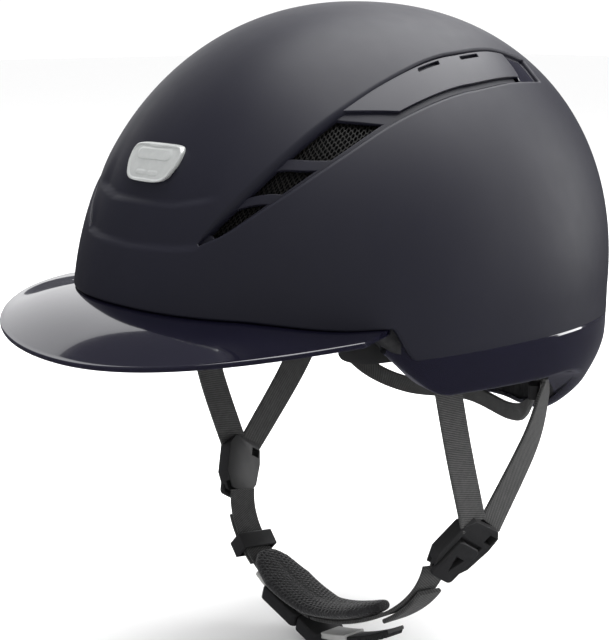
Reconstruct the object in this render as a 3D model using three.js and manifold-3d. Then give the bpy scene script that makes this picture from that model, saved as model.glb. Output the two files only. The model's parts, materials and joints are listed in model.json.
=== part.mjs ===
// Riding helmet with a peak, adult size M. Units are millimetres and +Z is up. The wearer looks along -Y,
// and the wearer's left is +X. The origin is the middle of the head opening at the shell's widest level.
import * as THREE from 'three';
import { mergeGeometries, mergeVertices } from 'three/addons/utils/BufferGeometryUtils.js';
import Module from 'manifold-3d';

const wasm = await Module();
wasm.setup();

// ---------- driving dimensions ----------

const SHELL = { halfWidth: 107, front: 123.5, back: 140.5, crown: 134, skirt: 234, crownShift: 12 };
const CAVITY = { halfWidth: 79, front: 98, back: 106, crown: 107, skirt: 400, crownShift: 8 };
const PLAN_POWER = 2.32;
const SIDE_POWER = 2.12;
const FRONT_NARROWING = 0.02;
const NAPE_TUCK = 18;

const GAP = 0.3;
const SHELL_THICKNESS = 3;
const BAND_THICKNESS = 2.6;
const BAND_FLANGE = 16;
const BAND_FLANGE_THICKNESS = 2.4;
const BAND_START = 66;
const BAND_END_ANGLE = 6;
const LINER_OFFSET = SHELL_THICKNESS + 1;

const PEAK = { halfWidth: 108, root: -60, reach: 99, planPower: 2.2, tipHeight: -8.8, sideRise: 10.4 };
const PEAK_THICKNESS = 2.4;
const PEAK_SEAM = 1.1;
const PEAK_END = 66;
const PEAK_SWEEP = 80;

const CHANNEL_POCKET = 12;
const FRAME_DEPTH = 2.6;
const FRAME_THICKNESS = 2;
const MESH_THICKNESS = 1;

const WEBBING = { width: 15.5, thickness: 1.6 };
const DIVIDER = { length: 32, width: 23, thickness: 7 };
const LEVER = { length: 21, width: 15, thickness: 3.2 };
const DIAL = { y: 95.8, z: -36, radius: 12, thickness: 6, lobes: 16 };
const PINION = { radius: 5, tooth: 1.1, teeth: 12, thickness: 5 };
const HOUSING = { width: 44, depth: 10.5, height: 31, wall: 1.8 };
const RACK = { length: 56, height: 3, depth: 4 };
const ROUND_STEPS = 60;
const BAND_STEPS = 38;
const LINER_STEPS = 36;

// ---------- small helpers ----------

const degrees = THREE.MathUtils.degToRad;
const mix = THREE.MathUtils.lerp;
const ease = (low, high, value) => THREE.MathUtils.smoothstep(value, low, high);
const signedPower = (value, power) => Math.sign(value) * Math.abs(value) ** power;
const vector = (x, y, z) => new THREE.Vector3(x, y, z);

const helmet = new THREE.Group();

const matteNavy = new THREE.MeshStandardMaterial({ color: 0x2d2d3a, roughness: 0.62, metalness: 0 });
const glossNavy = new THREE.MeshStandardMaterial({ color: 0x141226, roughness: 0.08, metalness: 0 });
const silver = new THREE.MeshStandardMaterial({ color: 0xc8cdc8, roughness: 0.25, metalness: 1 });
const blackMesh = new THREE.MeshStandardMaterial({ color: 0x101012, roughness: 0.6, metalness: 0 });
const foam = new THREE.MeshStandardMaterial({ color: 0x1c1c1e, roughness: 0.9, metalness: 0 });
const padFabric = new THREE.MeshStandardMaterial({ color: 0x26262a, roughness: 0.95, metalness: 0 });
const webbingGrey = new THREE.MeshStandardMaterial({ color: 0x373737, roughness: 0.8, metalness: 0 });
const fittingBlack = new THREE.MeshStandardMaterial({ color: 0x2a2a2a, roughness: 0.5, metalness: 0 });
const insertGrey = new THREE.MeshStandardMaterial({ color: 0x9a9a98, roughness: 0.5, metalness: 0 });
const steel = new THREE.MeshStandardMaterial({ color: 0x9c9ea0, roughness: 0.35, metalness: 1 });

function add(name, geometry, material) {
  const mesh = new THREE.Mesh(geometry, material);
  mesh.name = name;
  helmet.add(mesh);
  return mesh;
}

// Mirrors a closed geometry across the centre plane and turns its faces outwards again.
function mirrored(geometry) {
  const copy = geometry.clone().scale(-1, 1, 1);
  return geometryOf(closedSolid(copy));
}

function addPair(name, geometry, material) {
  add(`${name}_left`, geometry, material);
  add(`${name}_right`, mirrored(geometry), material);
}

// ---------- closed solids ----------

function bareMesh(geometry) {
  const bare = geometry.clone();
  bare.deleteAttribute('normal');
  bare.deleteAttribute('uv');
  return mergeVertices(bare, 1e-4);
}

function signedVolume(positions, triangles) {
  const corner = (index) => vector().fromArray(positions, 3 * index);
  let volume = 0;
  for (let i = 0; i < triangles.length; i += 3) {
    const [a, b, c] = [corner(triangles[i]), corner(triangles[i + 1]), corner(triangles[i + 2])];
    volume += a.dot(b.cross(c));
  }
  return volume;
}

// Turns a closed geometry into a solid: drops collapsed triangles and makes the faces point out.
function closedSolid(geometry) {
  const bare = bareMesh(geometry);
  const positions = bare.attributes.position.array;
  const kept = [];
  const index = bare.index.array;
  for (let i = 0; i < index.length; i += 3) {
    const [a, b, c] = [index[i], index[i + 1], index[i + 2]];
    if (a !== b && b !== c && c !== a) kept.push(a, b, c);
  }
  if (signedVolume(positions, kept) < 0) kept.reverse();
  const mesh = new wasm.Mesh({
    numProp: 3,
    vertProperties: new Float32Array(positions),
    triVerts: new Uint32Array(kept),
  });
  return new wasm.Manifold(mesh);
}

function geometryOf(solid) {
  const mesh = solid.getMesh();
  const geometry = new THREE.BufferGeometry();
  geometry.setAttribute('position', new THREE.BufferAttribute(mesh.vertProperties, 3));
  geometry.setIndex(new THREE.BufferAttribute(mesh.triVerts, 1));
  geometry.computeVertexNormals();
  return geometry;
}

// A solid between two surfaces given as point(u, v), u and v running from 0 to 1.
// With ring set, u closes on itself and the two u ends are joined instead of walled.
function slab(uSteps, vSteps, front, back, ring = false) {
  const positions = [];
  const quad = (a, b, c, d) => {
    for (const corner of [a, b, c, a, c, d]) positions.push(corner.x, corner.y, corner.z);
  };
  const at = (surface, i, j) => surface(ring ? (i % uSteps) / uSteps : i / uSteps, j / vSteps);
  for (let i = 0; i < uSteps; i += 1) {
    for (let j = 0; j < vSteps; j += 1) {
      quad(at(front, i, j), at(front, i + 1, j), at(front, i + 1, j + 1), at(front, i, j + 1));
      quad(at(back, i, j), at(back, i, j + 1), at(back, i + 1, j + 1), at(back, i + 1, j));
    }
    quad(at(front, i, 0), at(back, i, 0), at(back, i + 1, 0), at(front, i + 1, 0));
    quad(at(front, i + 1, vSteps), at(back, i + 1, vSteps), at(back, i, vSteps), at(front, i, vSteps));
  }
  for (let j = 0; !ring && j < vSteps; j += 1) {
    quad(at(front, 0, j + 1), at(back, 0, j + 1), at(back, 0, j), at(front, 0, j));
    quad(at(front, uSteps, j), at(back, uSteps, j), at(back, uSteps, j + 1), at(front, uSteps, j + 1));
  }
  const geometry = new THREE.BufferGeometry();
  geometry.setAttribute('position', new THREE.Float32BufferAttribute(positions, 3));
  return closedSolid(geometry);
}

const movedTo = (solid, x, y, z) => closedSolid(geometryOf(solid).translate(x, y, z));

function box(width, depth, height, x = 0, y = 0, z = 0) {
  return closedSolid(new THREE.BoxGeometry(width, depth, height).translate(x, y, z));
}

// A flat outline in the XY plane, pushed from z = 0 up to the given thickness.
function plate(shape, thickness, bevel = 0) {
  const geometry = new THREE.ExtrudeGeometry(shape, {
    depth: thickness - 2 * bevel,
    curveSegments: 3,
    bevelEnabled: bevel > 0,
    bevelThickness: bevel,
    bevelSize: bevel,
    bevelOffset: -bevel,
    bevelSegments: 1,
  });
  return closedSolid(geometry.translate(0, 0, bevel));
}

function roundedRectangle(width, height, radius) {
  const [x, y] = [width / 2 - radius, height / 2 - radius];
  const shape = new THREE.Shape();
  shape.absarc(x, y, radius, 0, Math.PI / 2);
  shape.absarc(-x, y, radius, Math.PI / 2, Math.PI);
  shape.absarc(-x, -y, radius, Math.PI, 1.5 * Math.PI);
  shape.absarc(x, -y, radius, 1.5 * Math.PI, 2 * Math.PI);
  shape.closePath();
  return shape;
}

// Keeps the main body of a cut and leaves out the slivers beside it.
function largestBody(solid) {
  const bodies = solid.decompose();
  return bodies.reduce((best, body) => (body.volume() > best.volume() ? body : best));
}

// ---------- the dome surfaces ----------

// A point on a rounded dome. around is in degrees, 0 at the front, 90 on the wearer's left and 180 at the
// back; inset moves the surface inwards.
function domePoint(dome, around, height, inset = 0) {
  const turn = degrees(around);
  const top = height >= 0 ? dome.crown - inset : dome.skirt;
  const lift = Math.min(Math.abs(height) / top, 1);
  const spread = (1 - lift ** SIDE_POWER) ** (1 / SIDE_POWER);
  const along = signedPower(-Math.cos(turn), 2 / PLAN_POWER);
  const across = signedPower(Math.sin(turn), 2 / PLAN_POWER);
  const length = along < 0 ? dome.front : dome.back;
  const shift = (dome.crownShift * Math.max(height, 0)) / dome.crown;
  const x = (dome.halfWidth - inset) * (1 + FRONT_NARROWING * along) * spread * across;
  const y = (length - inset) * spread * along + shift;
  return vector(x, y, height);
}

// How far round an angle is from the front, 0 to 180 degrees on either side.
const fromFront = (around) => Math.abs(((around + 180) % 360) - 180);

// The outside of the helmet, which pulls in towards the neck low down at the back.
function shellPoint(around, height, inset = 0) {
  const backness = ease(95, 130, fromFront(around));
  const tuck = NAPE_TUCK * backness * ease(20, 75, -height);
  return domePoint(SHELL, around, height, inset + tuck);
}

const cavityPoint = (around, height, inset = 0) => domePoint(CAVITY, around, height, inset);

// Lower edge of the painted shell: over the peak at the front, then a step down to the gloss band.
function shellEdge(around) {
  const side = fromFront(around);
  return 8.5 - 4 * ease(30, 60, side) - 14.5 * ease(66, 72, side) - 2 * ease(100, 180, side);
}

// Lower edge of the gloss band, which drops at the nape.
function bandEdge(around) {
  const side = fromFront(around);
  return -4 - 24 * ease(60, 80, side) - 2 * ease(80, 105, side) - 40 * ease(105, 160, side);
}

// A dome skin from its lower edge to the crown, with rows evenly spread over the curve.
function domeSurface(point, edge, crown) {
  return (u, v) => {
    const around = 360 * u;
    const rise = Math.sin((v * Math.PI) / 2) ** (2 / SIDE_POWER);
    return point(around, mix(edge(around), crown, rise));
  };
}

// A patch of a dome between two angles and two height functions.
function patch(point, from, to, low, high, inset) {
  return (u, v) => {
    const around = mix(from, to, u);
    return point(around, mix(low(around), high(around), v), inset);
  };
}

// ---------- air channels ----------

// Each channel runs up the side of the shell between two curves of (angle, height) pairs.
function curveOf(...pairs) {
  return new THREE.SplineCurve(pairs.map(([around, height]) => new THREE.Vector2(around, height)));
}

const CHANNEL_TOP = curveOf(
  [19, 37], [26, 54], [39, 77], [51, 91.5], [66, 103], [85, 111], [108, 113.5], [128, 108],
);
const CHANNEL_LOW = curveOf(
  [19, 35], [26, 40], [38, 54], [53, 71], [67, 84], [84, 93], [103, 97.5], [122, 97],
);

// Areas of the channel: from and to are shares of its length, low and high shares of its width. A slant
// moves an end towards the front tip as it rises.
const BAR_SLANT = 0.1875;
const FRAME_AREA = { from: 0.012, to: 0.9, low: 0.03, high: 0.97 };
const WINDOWS = [
  { from: 0.16, to: 0.29, low: 0.18, high: 0.8, frontSlant: BAR_SLANT, rearSlant: BAR_SLANT },
  { from: 0.33, to: 0.4, low: 0.16, high: 0.78, frontSlant: BAR_SLANT, rearSlant: BAR_SLANT },
  { from: 0.43, to: 0.567, low: 0.18, high: 0.78, frontSlant: BAR_SLANT, rearSlant: BAR_SLANT },
];
const OUTLET_SLOTS = [
  { from: 0.62, to: 0.73, low: 0.87, high: 0.95 },
  { from: 0.79, to: 0.87, low: 0.87, high: 0.95 },
];
const MESH_AREA = { from: 0.03, to: 0.57, low: 0.06, high: 0.94 };
const COVER_AREA = { from: 0.59, to: 0.9, low: 0.2, high: 0.84, frontSlant: BAR_SLANT };
const OUTLET_AREA = { from: 0.91, to: 0.985, low: 0.05, high: 0.95 };
const COVER_DEPTH = 0.8;

// A point of the channel: along runs from the front tip to the rear, across from the low edge to the top.
function channelPoint(along, across, inset) {
  const low = CHANNEL_LOW.getPoint(along);
  const top = CHANNEL_TOP.getPoint(along);
  return shellPoint(mix(low.x, top.x, across), mix(low.y, top.y, across), inset);
}

function channelSlab(area, outerInset, innerInset, steps) {
  const { from, to, low, high, frontSlant = 0, rearSlant = 0 } = area;
  const surface = (inset) => (u, v) => {
    const across = mix(low, high, v);
    const along = mix(from - frontSlant * across, to - rearSlant * across, u);
    return channelPoint(along, across, inset);
  };
  return slab(steps, 2, surface(outerInset), surface(innerInset));
}

function bothSides(solid) {
  return solid.add(closedSolid(geometryOf(solid).scale(-1, 1, 1)));
}

const WHOLE_CHANNEL = { from: 0, to: 1, low: 0, high: 1 };
const channelOpening = bothSides(channelSlab(WHOLE_CHANNEL, -2, SHELL_THICKNESS + 2, 20));
const channelPocket = bothSides(channelSlab(WHOLE_CHANNEL, -2, CHANNEL_POCKET, 14));

// ---------- outer shell ----------

const outerSkin = domeSurface((a, h) => shellPoint(a, h), shellEdge, SHELL.crown);
const innerCrown = SHELL.crown - SHELL_THICKNESS;
const innerSkin = domeSurface((a, h) => shellPoint(a, h, SHELL_THICKNESS), shellEdge, innerCrown);
const shellSolid = slab(ROUND_STEPS, 11, outerSkin, innerSkin, true).subtract(channelOpening);
add('outer_shell', geometryOf(shellSolid), matteNavy);

// ---------- gloss band ----------

// The band's wall, its inward flange under the liner and its two closed front ends, grown by a margin.
function glossBand(margin) {
  const bottom = (around) => bandEdge(around) - margin;
  const top = (around) => shellEdge(around) - GAP + margin;
  const endTop = (around) => shellEdge(around) - GAP + 4 * margin;
  const flangeTop = (around) => bandEdge(around) + BAND_FLANGE_THICKNESS + margin;
  const piece = (from, to, high, depth, uSteps, vSteps) => {
    const face = (inset) => patch(shellPoint, from, to, bottom, high, inset);
    return slab(uSteps, vSteps, face(-margin), face(depth + margin));
  };
  const [start, end] = [BAND_START, 360 - BAND_START];
  return piece(start, end, top, BAND_THICKNESS, BAND_STEPS, 3)
    .add(piece(start, end, flangeTop, BAND_FLANGE, BAND_STEPS, 1))
    .add(piece(start - margin, start + BAND_END_ANGLE + margin, endTop, BAND_FLANGE, 1, 2))
    .add(piece(end - BAND_END_ANGLE - margin, end + margin, endTop, BAND_FLANGE, 1, 2));
}

// ---------- peak ----------

// The free edge of the peak; sweep runs from -1 on the wearer's right to 1 on the left.
function peakEdge(sweep) {
  const turn = degrees(sweep * PEAK_SWEEP);
  const x = PEAK.halfWidth * signedPower(Math.sin(turn), 2 / PEAK.planPower);
  const y = PEAK.root - PEAK.reach * Math.cos(turn) ** (2 / PEAK.planPower);
  return vector(x, y, PEAK.tipHeight + PEAK.sideRise * (x / 100) ** 2);
}

function peakSurface(drop, rootInset, reach) {
  return (u, v) => {
    const sweep = mix(-reach, reach, u);
    const around = sweep * PEAK_END;
    const root = shellPoint(around, shellEdge(around) - PEAK_SEAM - drop, rootInset);
    const edge = peakEdge(sweep).setZ(peakEdge(sweep).z - drop);
    const point = root.lerp(edge, v);
    point.z += 2.2 * Math.sin(Math.PI * v) * Math.cos(degrees(sweep * 90));
    return point;
  };
}

function peakSolid(margin) {
  const inset = SHELL_THICKNESS + margin;
  const reach = 1 + 0.03 * margin;
  const [top, underside] = [-margin, PEAK_THICKNESS + margin];
  return slab(44, 4, peakSurface(top, inset, reach), peakSurface(underside, inset, reach));
}

add('peak', geometryOf(peakSolid(0)), glossNavy);
add('gloss_band', geometryOf(largestBody(glossBand(0).subtract(peakSolid(3 * GAP)))), glossNavy);

// ---------- badge ----------

// The angle at which the shell lies x from the centre plane at this height, on the front.
function aroundAt(x, height) {
  const reach = shellPoint(90, height).x * (1 - FRONT_NARROWING);
  return THREE.MathUtils.radToDeg(Math.asin(Math.abs(x / reach) ** (PLAN_POWER / 2))) * Math.sign(x);
}

function badgeSurface(inset) {
  return (u, v) => {
    const rise = (1 - Math.cos(Math.PI * v)) / 2;
    const rounding = (1 - Math.abs(2 * rise - 1) ** 5) ** 0.2;
    const x = mix(-1, 1, u) * mix(13, 17, rise) * rounding;
    const height = mix(58.5, 74, rise);
    return shellPoint(aroundAt(x, height), height, inset);
  };
}

add('badge', geometryOf(slab(10, 8, badgeSurface(-2), badgeSurface(-GAP))), silver);

// ---------- vent inserts ----------

const frameFloor = FRAME_DEPTH + FRAME_THICKNESS;
let ventFrame = channelSlab(FRAME_AREA, FRAME_DEPTH, frameFloor, 22);
for (const hole of [...WINDOWS, ...OUTLET_SLOTS]) {
  ventFrame = ventFrame.subtract(channelSlab(hole, 0, frameFloor + 2, 2));
}
addPair('vent_frame', geometryOf(ventFrame), matteNavy);

const meshTop = frameFloor + GAP;
const ventMesh = channelSlab(MESH_AREA, meshTop, meshTop + MESH_THICKNESS, 14);
addPair('vent_mesh', geometryOf(ventMesh), blackMesh);

// The cover panel lies on the rear part of the frame.
const ventCover = channelSlab(COVER_AREA, COVER_DEPTH, FRAME_DEPTH - GAP, 12);
addPair('vent_cover', geometryOf(ventCover), matteNavy);

const ventOutlet = channelSlab(OUTLET_AREA, FRAME_DEPTH, frameFloor, 4);
addPair('vent_outlet', geometryOf(ventOutlet), glossNavy);

// ---------- impact liner ----------

const linerEdge = (around) => bandEdge(around) + 3;
const linerTop = SHELL.crown - LINER_OFFSET;
const linerOutside = domeSurface((a, h) => shellPoint(a, h, LINER_OFFSET), linerEdge, linerTop);
const linerInside = domeSurface((a, h) => cavityPoint(a, h), linerEdge, CAVITY.crown);
const linerSolid = slab(LINER_STEPS, 7, linerOutside, linerInside, true);
add('impact_liner', geometryOf(linerSolid.subtract(glossBand(1.6)).subtract(channelPocket)), foam);

// ---------- comfort pads ----------

const PAD_THICKNESS = 7;
const PAD_CLEARANCE = 1.6;

function pad(from, to, low, high, uSteps, vSteps = 3) {
  const heightOf = (value) => () => value;
  const face = (inset) => patch(cavityPoint, from, to, heightOf(low), heightOf(high), inset);
  return geometryOf(slab(uSteps, vSteps, face(PAD_CLEARANCE), face(PAD_THICKNESS)));
}

add('front_pad', pad(-58, 58, 0, 26, 14), padFabric);
addPair('side_pad', pad(66, 118, 0, 34, 8), padFabric);
add('rear_pad', pad(142, 218, 2, 34, 8), padFabric);
const crownRise = (inset) => (u, v) => {
  const top = CAVITY.crown - inset;
  return cavityPoint(360 * u, mix(86, top, Math.sin((v * Math.PI) / 2)), inset);
};
const crownPad = slab(24, 3, crownRise(PAD_CLEARANCE), crownRise(PAD_THICKNESS), true);
add('crown_pad', geometryOf(crownPad), padFabric);

// ---------- fit system ----------

// The ring bands run from the temples down to the dial housing at the back of the head.
const ringHeight = (around) => -12 - 24 * ease(75, 150, fromFront(around));
const ringLow = (around) => ringHeight(around) - 8;
const ringHigh = (around) => ringHeight(around) + 8;
const ringFace = (inset) => patch(cavityPoint, 58, 150, ringLow, ringHigh, inset);
addPair('ring_band', geometryOf(slab(14, 1, ringFace(9), ringFace(10.6))), fittingBlack);

// The cradle cups the back of the head in front of the dial housing.
const cradleLow = (around) => -60 + 0.012 * (around - 180) ** 2;
const cradleHigh = () => -18;
const cradleFace = (inset) => patch(cavityPoint, 148, 212, cradleLow, cradleHigh, inset);
add('nape_cradle', geometryOf(slab(12, 2, cradleFace(22), cradleFace(25))), padFabric);

const housingCentre = vector(0, DIAL.y - HOUSING.depth / 2 - GAP, DIAL.z);
const housingBody = box(HOUSING.width, HOUSING.depth, HOUSING.height, ...housingCentre);
const housingBore = box(
  HOUSING.width + 2,
  HOUSING.depth - 2 * HOUSING.wall,
  HOUSING.height - 2 * HOUSING.wall,
  ...housingCentre,
);
const spindleHole = closedSolid(
  new THREE.CylinderGeometry(3, 3, 8, 20).translate(0, DIAL.y - HOUSING.wall, DIAL.z),
);
add('dial_housing', geometryOf(housingBody.subtract(housingBore).subtract(spindleHole)), fittingBlack);

// A wheel outline whose edge rises and falls around a circle.
function lobedWheel(radius, height, lobes) {
  const points = [];
  const steps = 4 * lobes;
  for (let i = 0; i < steps; i += 1) {
    const turn = (2 * Math.PI * i) / steps;
    const reach = radius + (height / 2) * Math.cos(lobes * turn);
    points.push(new THREE.Vector2(reach * Math.cos(turn), reach * Math.sin(turn)));
  }
  return new THREE.Shape(points);
}

// Turns a plate made in the XY plane so that it faces along +Y, starting at the given y.
const facingBack = (solid, y, z) => geometryOf(solid).rotateX(-Math.PI / 2).translate(0, y, z);

const wheelShape = lobedWheel(DIAL.radius - 0.5, 1, DIAL.lobes);
add('dial_wheel', facingBack(plate(wheelShape, DIAL.thickness), DIAL.y, DIAL.z), fittingBlack);

const spindleLength = HOUSING.wall + 2 * GAP + 0.6;
const pinionY = DIAL.y - HOUSING.wall - 3 * GAP - PINION.thickness;
const gearShape = lobedWheel(PINION.radius, PINION.tooth, PINION.teeth);
const gear = facingBack(plate(gearShape, PINION.thickness), pinionY, DIAL.z);
const spindle = new THREE.CylinderGeometry(2.4, 2.4, spindleLength, 16);
spindle.translate(0, DIAL.y - GAP - spindleLength / 2, DIAL.z);
const pinionSolid = closedSolid(gear).add(closedSolid(spindle));
add('dial_pinion', geometryOf(pinionSolid), fittingBlack);

// A toothed rack along X whose teeth face the pinion; side is 1 for the wearer's left, above the pinion.
function rack(side) {
  const pitch = (2 * Math.PI * PINION.radius) / PINION.teeth;
  const reach = RACK.length;
  const shape = new THREE.Shape([new THREE.Vector2(0, RACK.height), new THREE.Vector2(0, 0)]);
  for (let x = pitch / 2; x < reach - pitch; x += pitch) {
    shape.lineTo(x, 0);
    shape.lineTo(x + pitch / 2, -0.5 * PINION.tooth);
  }
  shape.lineTo(reach, 0);
  shape.lineTo(reach, RACK.height);
  shape.closePath();
  const bar = geometryOf(plate(shape, RACK.depth)).rotateX(Math.PI / 2);
  const toothLine = PINION.radius + PINION.tooth + GAP;
  bar.translate(-16, pinionY + RACK.depth + 0.5, toothLine);
  if (side < 0) bar.rotateY(Math.PI);
  return bar.translate(0, 0, DIAL.z);
}

add('rack_left', rack(1), fittingBlack);
add('rack_right', rack(-1), fittingBlack);

// ---------- webbing ----------

// A flat strap along a smooth line. facing(t) is the direction its outer face looks in.
function webbing(points, facing, steps, { width, thickness } = WEBBING) {
  const line = new THREE.CatmullRomCurve3(points);
  const surface = (offset) => (u, v) => {
    const along = line.getTangent(u);
    const out = facing(u).clone().projectOnPlane(along).normalize();
    const across = new THREE.Vector3().crossVectors(along, out);
    return line.getPoint(u).addScaledVector(out, offset).addScaledVector(across, (v - 0.5) * width);
  };
  return geometryOf(slab(steps, 1, surface(thickness / 2), surface(-thickness / 2)));
}

const outwards = () => vector(1, 0, 0);
const swing = (from, to) => (t) => from.clone().lerp(to, t);

const frontStrap = webbing([vector(88.5, -14, -29), vector(88.5, -6, -60), vector(87, 5, -92)], outwards, 10);
addPair('front_strap', frontStrap, webbingGrey);

const rearLine = [vector(83.6, 57, -38), vector(84.2, 55, -46), vector(86, 44, -66), vector(86.5, 24, -91)];
addPair('rear_strap', webbing(rearLine, swing(vector(0.8, 0.6, 0), vector(1, 0, 0)), 14), webbingGrey);

const NAPE_STRAP = { width: 9, thickness: 2 };
const napeLine = [[73, 66, -43], [57, 76, -60], [36, 87, -68], [0, 94, -66]].map((p) => vector(...p));
const napeMirror = napeLine.slice(0, -1).reverse().map((p) => p.clone().setX(-p.x));
const napeFacing = (t) => vector(Math.cos(Math.PI * t), Math.sin(Math.PI * t), 0);
add('nape_strap', webbing([...napeLine, ...napeMirror], napeFacing, 26, NAPE_STRAP), webbingGrey);

const anchorPlate = plate(roundedRectangle(8.5, 18, 2), 2.4);
addPair('front_anchor', geometryOf(anchorPlate).translate(82.2, -14, -28), fittingBlack);
const rearAnchor = geometryOf(plate(roundedRectangle(5, 10, 1.5), 7)).rotateZ(Math.atan2(0.6, 0.8));
addPair('rear_anchor', rearAnchor.translate(79.9, 53.4, -47), fittingBlack);

// ---------- dividers with cam levers ----------

// The divider lies along the straps, from their meeting point down to the chin strap.
const dividerTop = vector(88, 13, -95);
const dividerFoot = vector(73, -3, -120);

// A frame whose x runs along the divider, z looks outwards and y lies across it.
function frameAlong(start, end, facing) {
  const along = end.clone().sub(start).normalize();
  const out = facing.clone().projectOnPlane(along).normalize();
  const across = new THREE.Vector3().crossVectors(out, along);
  return new THREE.Matrix4().makeBasis(along, across, out).setPosition(start);
}

const dividerFrame = frameAlong(dividerTop, dividerFoot, vector(1, 0, 0));

function dividerOutline() {
  const { length, width } = DIVIDER;
  const shape = new THREE.Shape();
  shape.moveTo(2, -width / 2 + 4);
  shape.lineTo(8, -width / 2);
  shape.lineTo(length - 8, -width / 2);
  shape.lineTo(length, -width / 2 + 5);
  shape.lineTo(length, width / 2 - 5);
  shape.lineTo(length - 8, width / 2);
  shape.quadraticCurveTo(2, width / 2 + 4, 1, width / 2 - 3);
  shape.closePath();
  return shape;
}

const slotAt = (x, y, width, height) => box(width, height, 20, x, y, 0);
const dividerBlock = plate(dividerOutline(), DIVIDER.thickness)
  .subtract(slotAt(6.5, 8.5, 4.5, 5))
  .subtract(box(LEVER.length + 2, LEVER.width + 2 * GAP, 4, DIVIDER.length - 9, 0, DIVIDER.thickness))
  .subtract(box(50, WEBBING.width + 1.5, 2.6, DIVIDER.length / 2, 0, 1.9));
addPair('divider', geometryOf(dividerBlock).translate(0, 0, -3).applyMatrix4(dividerFrame), fittingBlack);

// The cam lever is a plate with a three-sided window, hinged at its upper end.
const leverShape = roundedRectangle(LEVER.length, LEVER.width, 2.5);
const leverWindow = plate(
  new THREE.Shape([new THREE.Vector2(-3, -3), new THREE.Vector2(5, 0), new THREE.Vector2(-3, 3)]),
  10,
);
const leverSolid = plate(leverShape, LEVER.thickness, 0.6).subtract(movedTo(leverWindow, 0, 0, -3));
const leverShift = new THREE.Matrix4().makeTranslation(DIVIDER.length - 8.5, 0, 2.4);
const leverPlace = dividerFrame.clone().multiply(leverShift);
addPair('cam_lever', geometryOf(leverSolid).applyMatrix4(leverPlace), fittingBlack);

// ---------- chin strap ----------

// The chin strap hangs as a symmetric loop; t runs from -1 at the wearer's right to 1 at the left.
function chinLine(t, drop = 0) {
  const turn = (t * Math.PI) / 2;
  const x = (70.6 + drop) * signedPower(Math.sin(turn), 1.3);
  const fall = 1 - Math.cos(turn);
  return vector(x, -8 + 7.5 * fall, -162.4 - drop + (46.5 + drop) * fall);
}

const chinFacing = (from, to) => (u) => {
  const turn = (mix(from, to, u) * Math.PI) / 2;
  return vector(Math.sin(turn) * 1.2, 0, -Math.cos(turn));
};

function chinPiece(from, to, drop, steps, size = WEBBING) {
  const points = [];
  for (let i = 0; i <= 8; i += 1) points.push(chinLine(mix(from, to, i / 8), drop));
  return webbing(points, chinFacing(from, to), steps, size);
}

add('chin_strap_right', chinPiece(-0.94, -0.02, 0, 18), webbingGrey);
add('chin_strap_left', chinPiece(0.02, 0.9, 0, 18), webbingGrey);
add('strap_tail_right', chinPiece(-0.82, -0.52, 2.4, 8), webbingGrey);
add('strap_tail_left', chinPiece(0.52, 0.8, 3.2, 8, { width: 15.5, thickness: 2.2 }), webbingGrey);
add('chin_pad', chinPiece(-0.54, 0.5, -4.6, 20, { width: 26, thickness: 6 }), padFabric);

// ---------- keeper loop ----------

const keeperCentre = chinLine(-0.63, 1.2);
const keeperFrame = frameAlong(keeperCentre, chinLine(-0.7, 1.2), vector(-1, 0, -0.6));
const keeperRing = box(9, WEBBING.width + 5.6, 10.4).subtract(box(12, WEBBING.width + 1.6, 7));
add('keeper_loop', geometryOf(keeperRing).applyMatrix4(keeperFrame), fittingBlack);

// ---------- magnetic slide buckle ----------

// Each buckle part lies under the strap between two points of the chin line, in a frame whose x axis runs
// towards the wearer's left and whose z axis looks away from the chin.
const BUCKLE_DROP = 6.2;
function underStrap(from, to, drop) {
  const [start, end] = [chinLine(from, drop), chinLine(to, drop)];
  const length = start.distanceTo(end);
  const frame = frameAlong(start, end, vector(0, 0, -1));
  return { length, place: (solid) => geometryOf(solid).applyMatrix4(frame) };
}

const BUCKLE = { width: 20, thickness: 7.5 };
const BUCKLE_SLOT = { width: 12.6, height: 3.6 };
const BUCKLE_BLADE = { width: 12, height: 3 };
const receiverSpot = underStrap(-0.38, -0.13, BUCKLE_DROP);
const receiverPlate = plate(roundedRectangle(receiverSpot.length, BUCKLE.width, 3), BUCKLE.thickness, 0.8);
const receiverMiddle = receiverSpot.length / 2;
const receiverSlot = box(receiverSpot.length, BUCKLE_SLOT.width, BUCKLE_SLOT.height, receiverMiddle + 4);
const receiver = movedTo(receiverPlate, receiverMiddle, 0, -BUCKLE.thickness / 2).subtract(receiverSlot);
add('buckle_receiver', receiverSpot.place(receiver), fittingBlack);

const magnet = closedSolid(new THREE.CylinderGeometry(4, 4, 2, 20).rotateX(Math.PI / 2).translate(9, 0, 0));
add('buckle_magnet', receiverSpot.place(magnet), steel);

// The tongue's blade slides into the receiver; its body carries the pale insert and the toothed strip.
const bladeReach = receiverSpot.length - 14;
const blade = box(bladeReach + 6, BUCKLE_BLADE.width, BUCKLE_BLADE.height, 14 + (bladeReach + 6) / 2);
const tongueStart = receiverSpot.length + 0.6;
const tonguePlate = plate(roundedRectangle(17, BUCKLE.width - 1, 3), BUCKLE.thickness, 0.8);
const tongueBody = movedTo(tonguePlate, tongueStart + 8.5, 0, -BUCKLE.thickness / 2);
add('buckle_tongue', receiverSpot.place(tongueBody.add(blade)), fittingBlack);

const insertSpot = underStrap(0.14, 0.24, BUCKLE_DROP + 2);
const insertPlate = plate(roundedRectangle(insertSpot.length, 13, 1.5), 3);
add('buckle_insert', insertSpot.place(movedTo(insertPlate, insertSpot.length / 2, 0, -1.5)), insertGrey);

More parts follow.
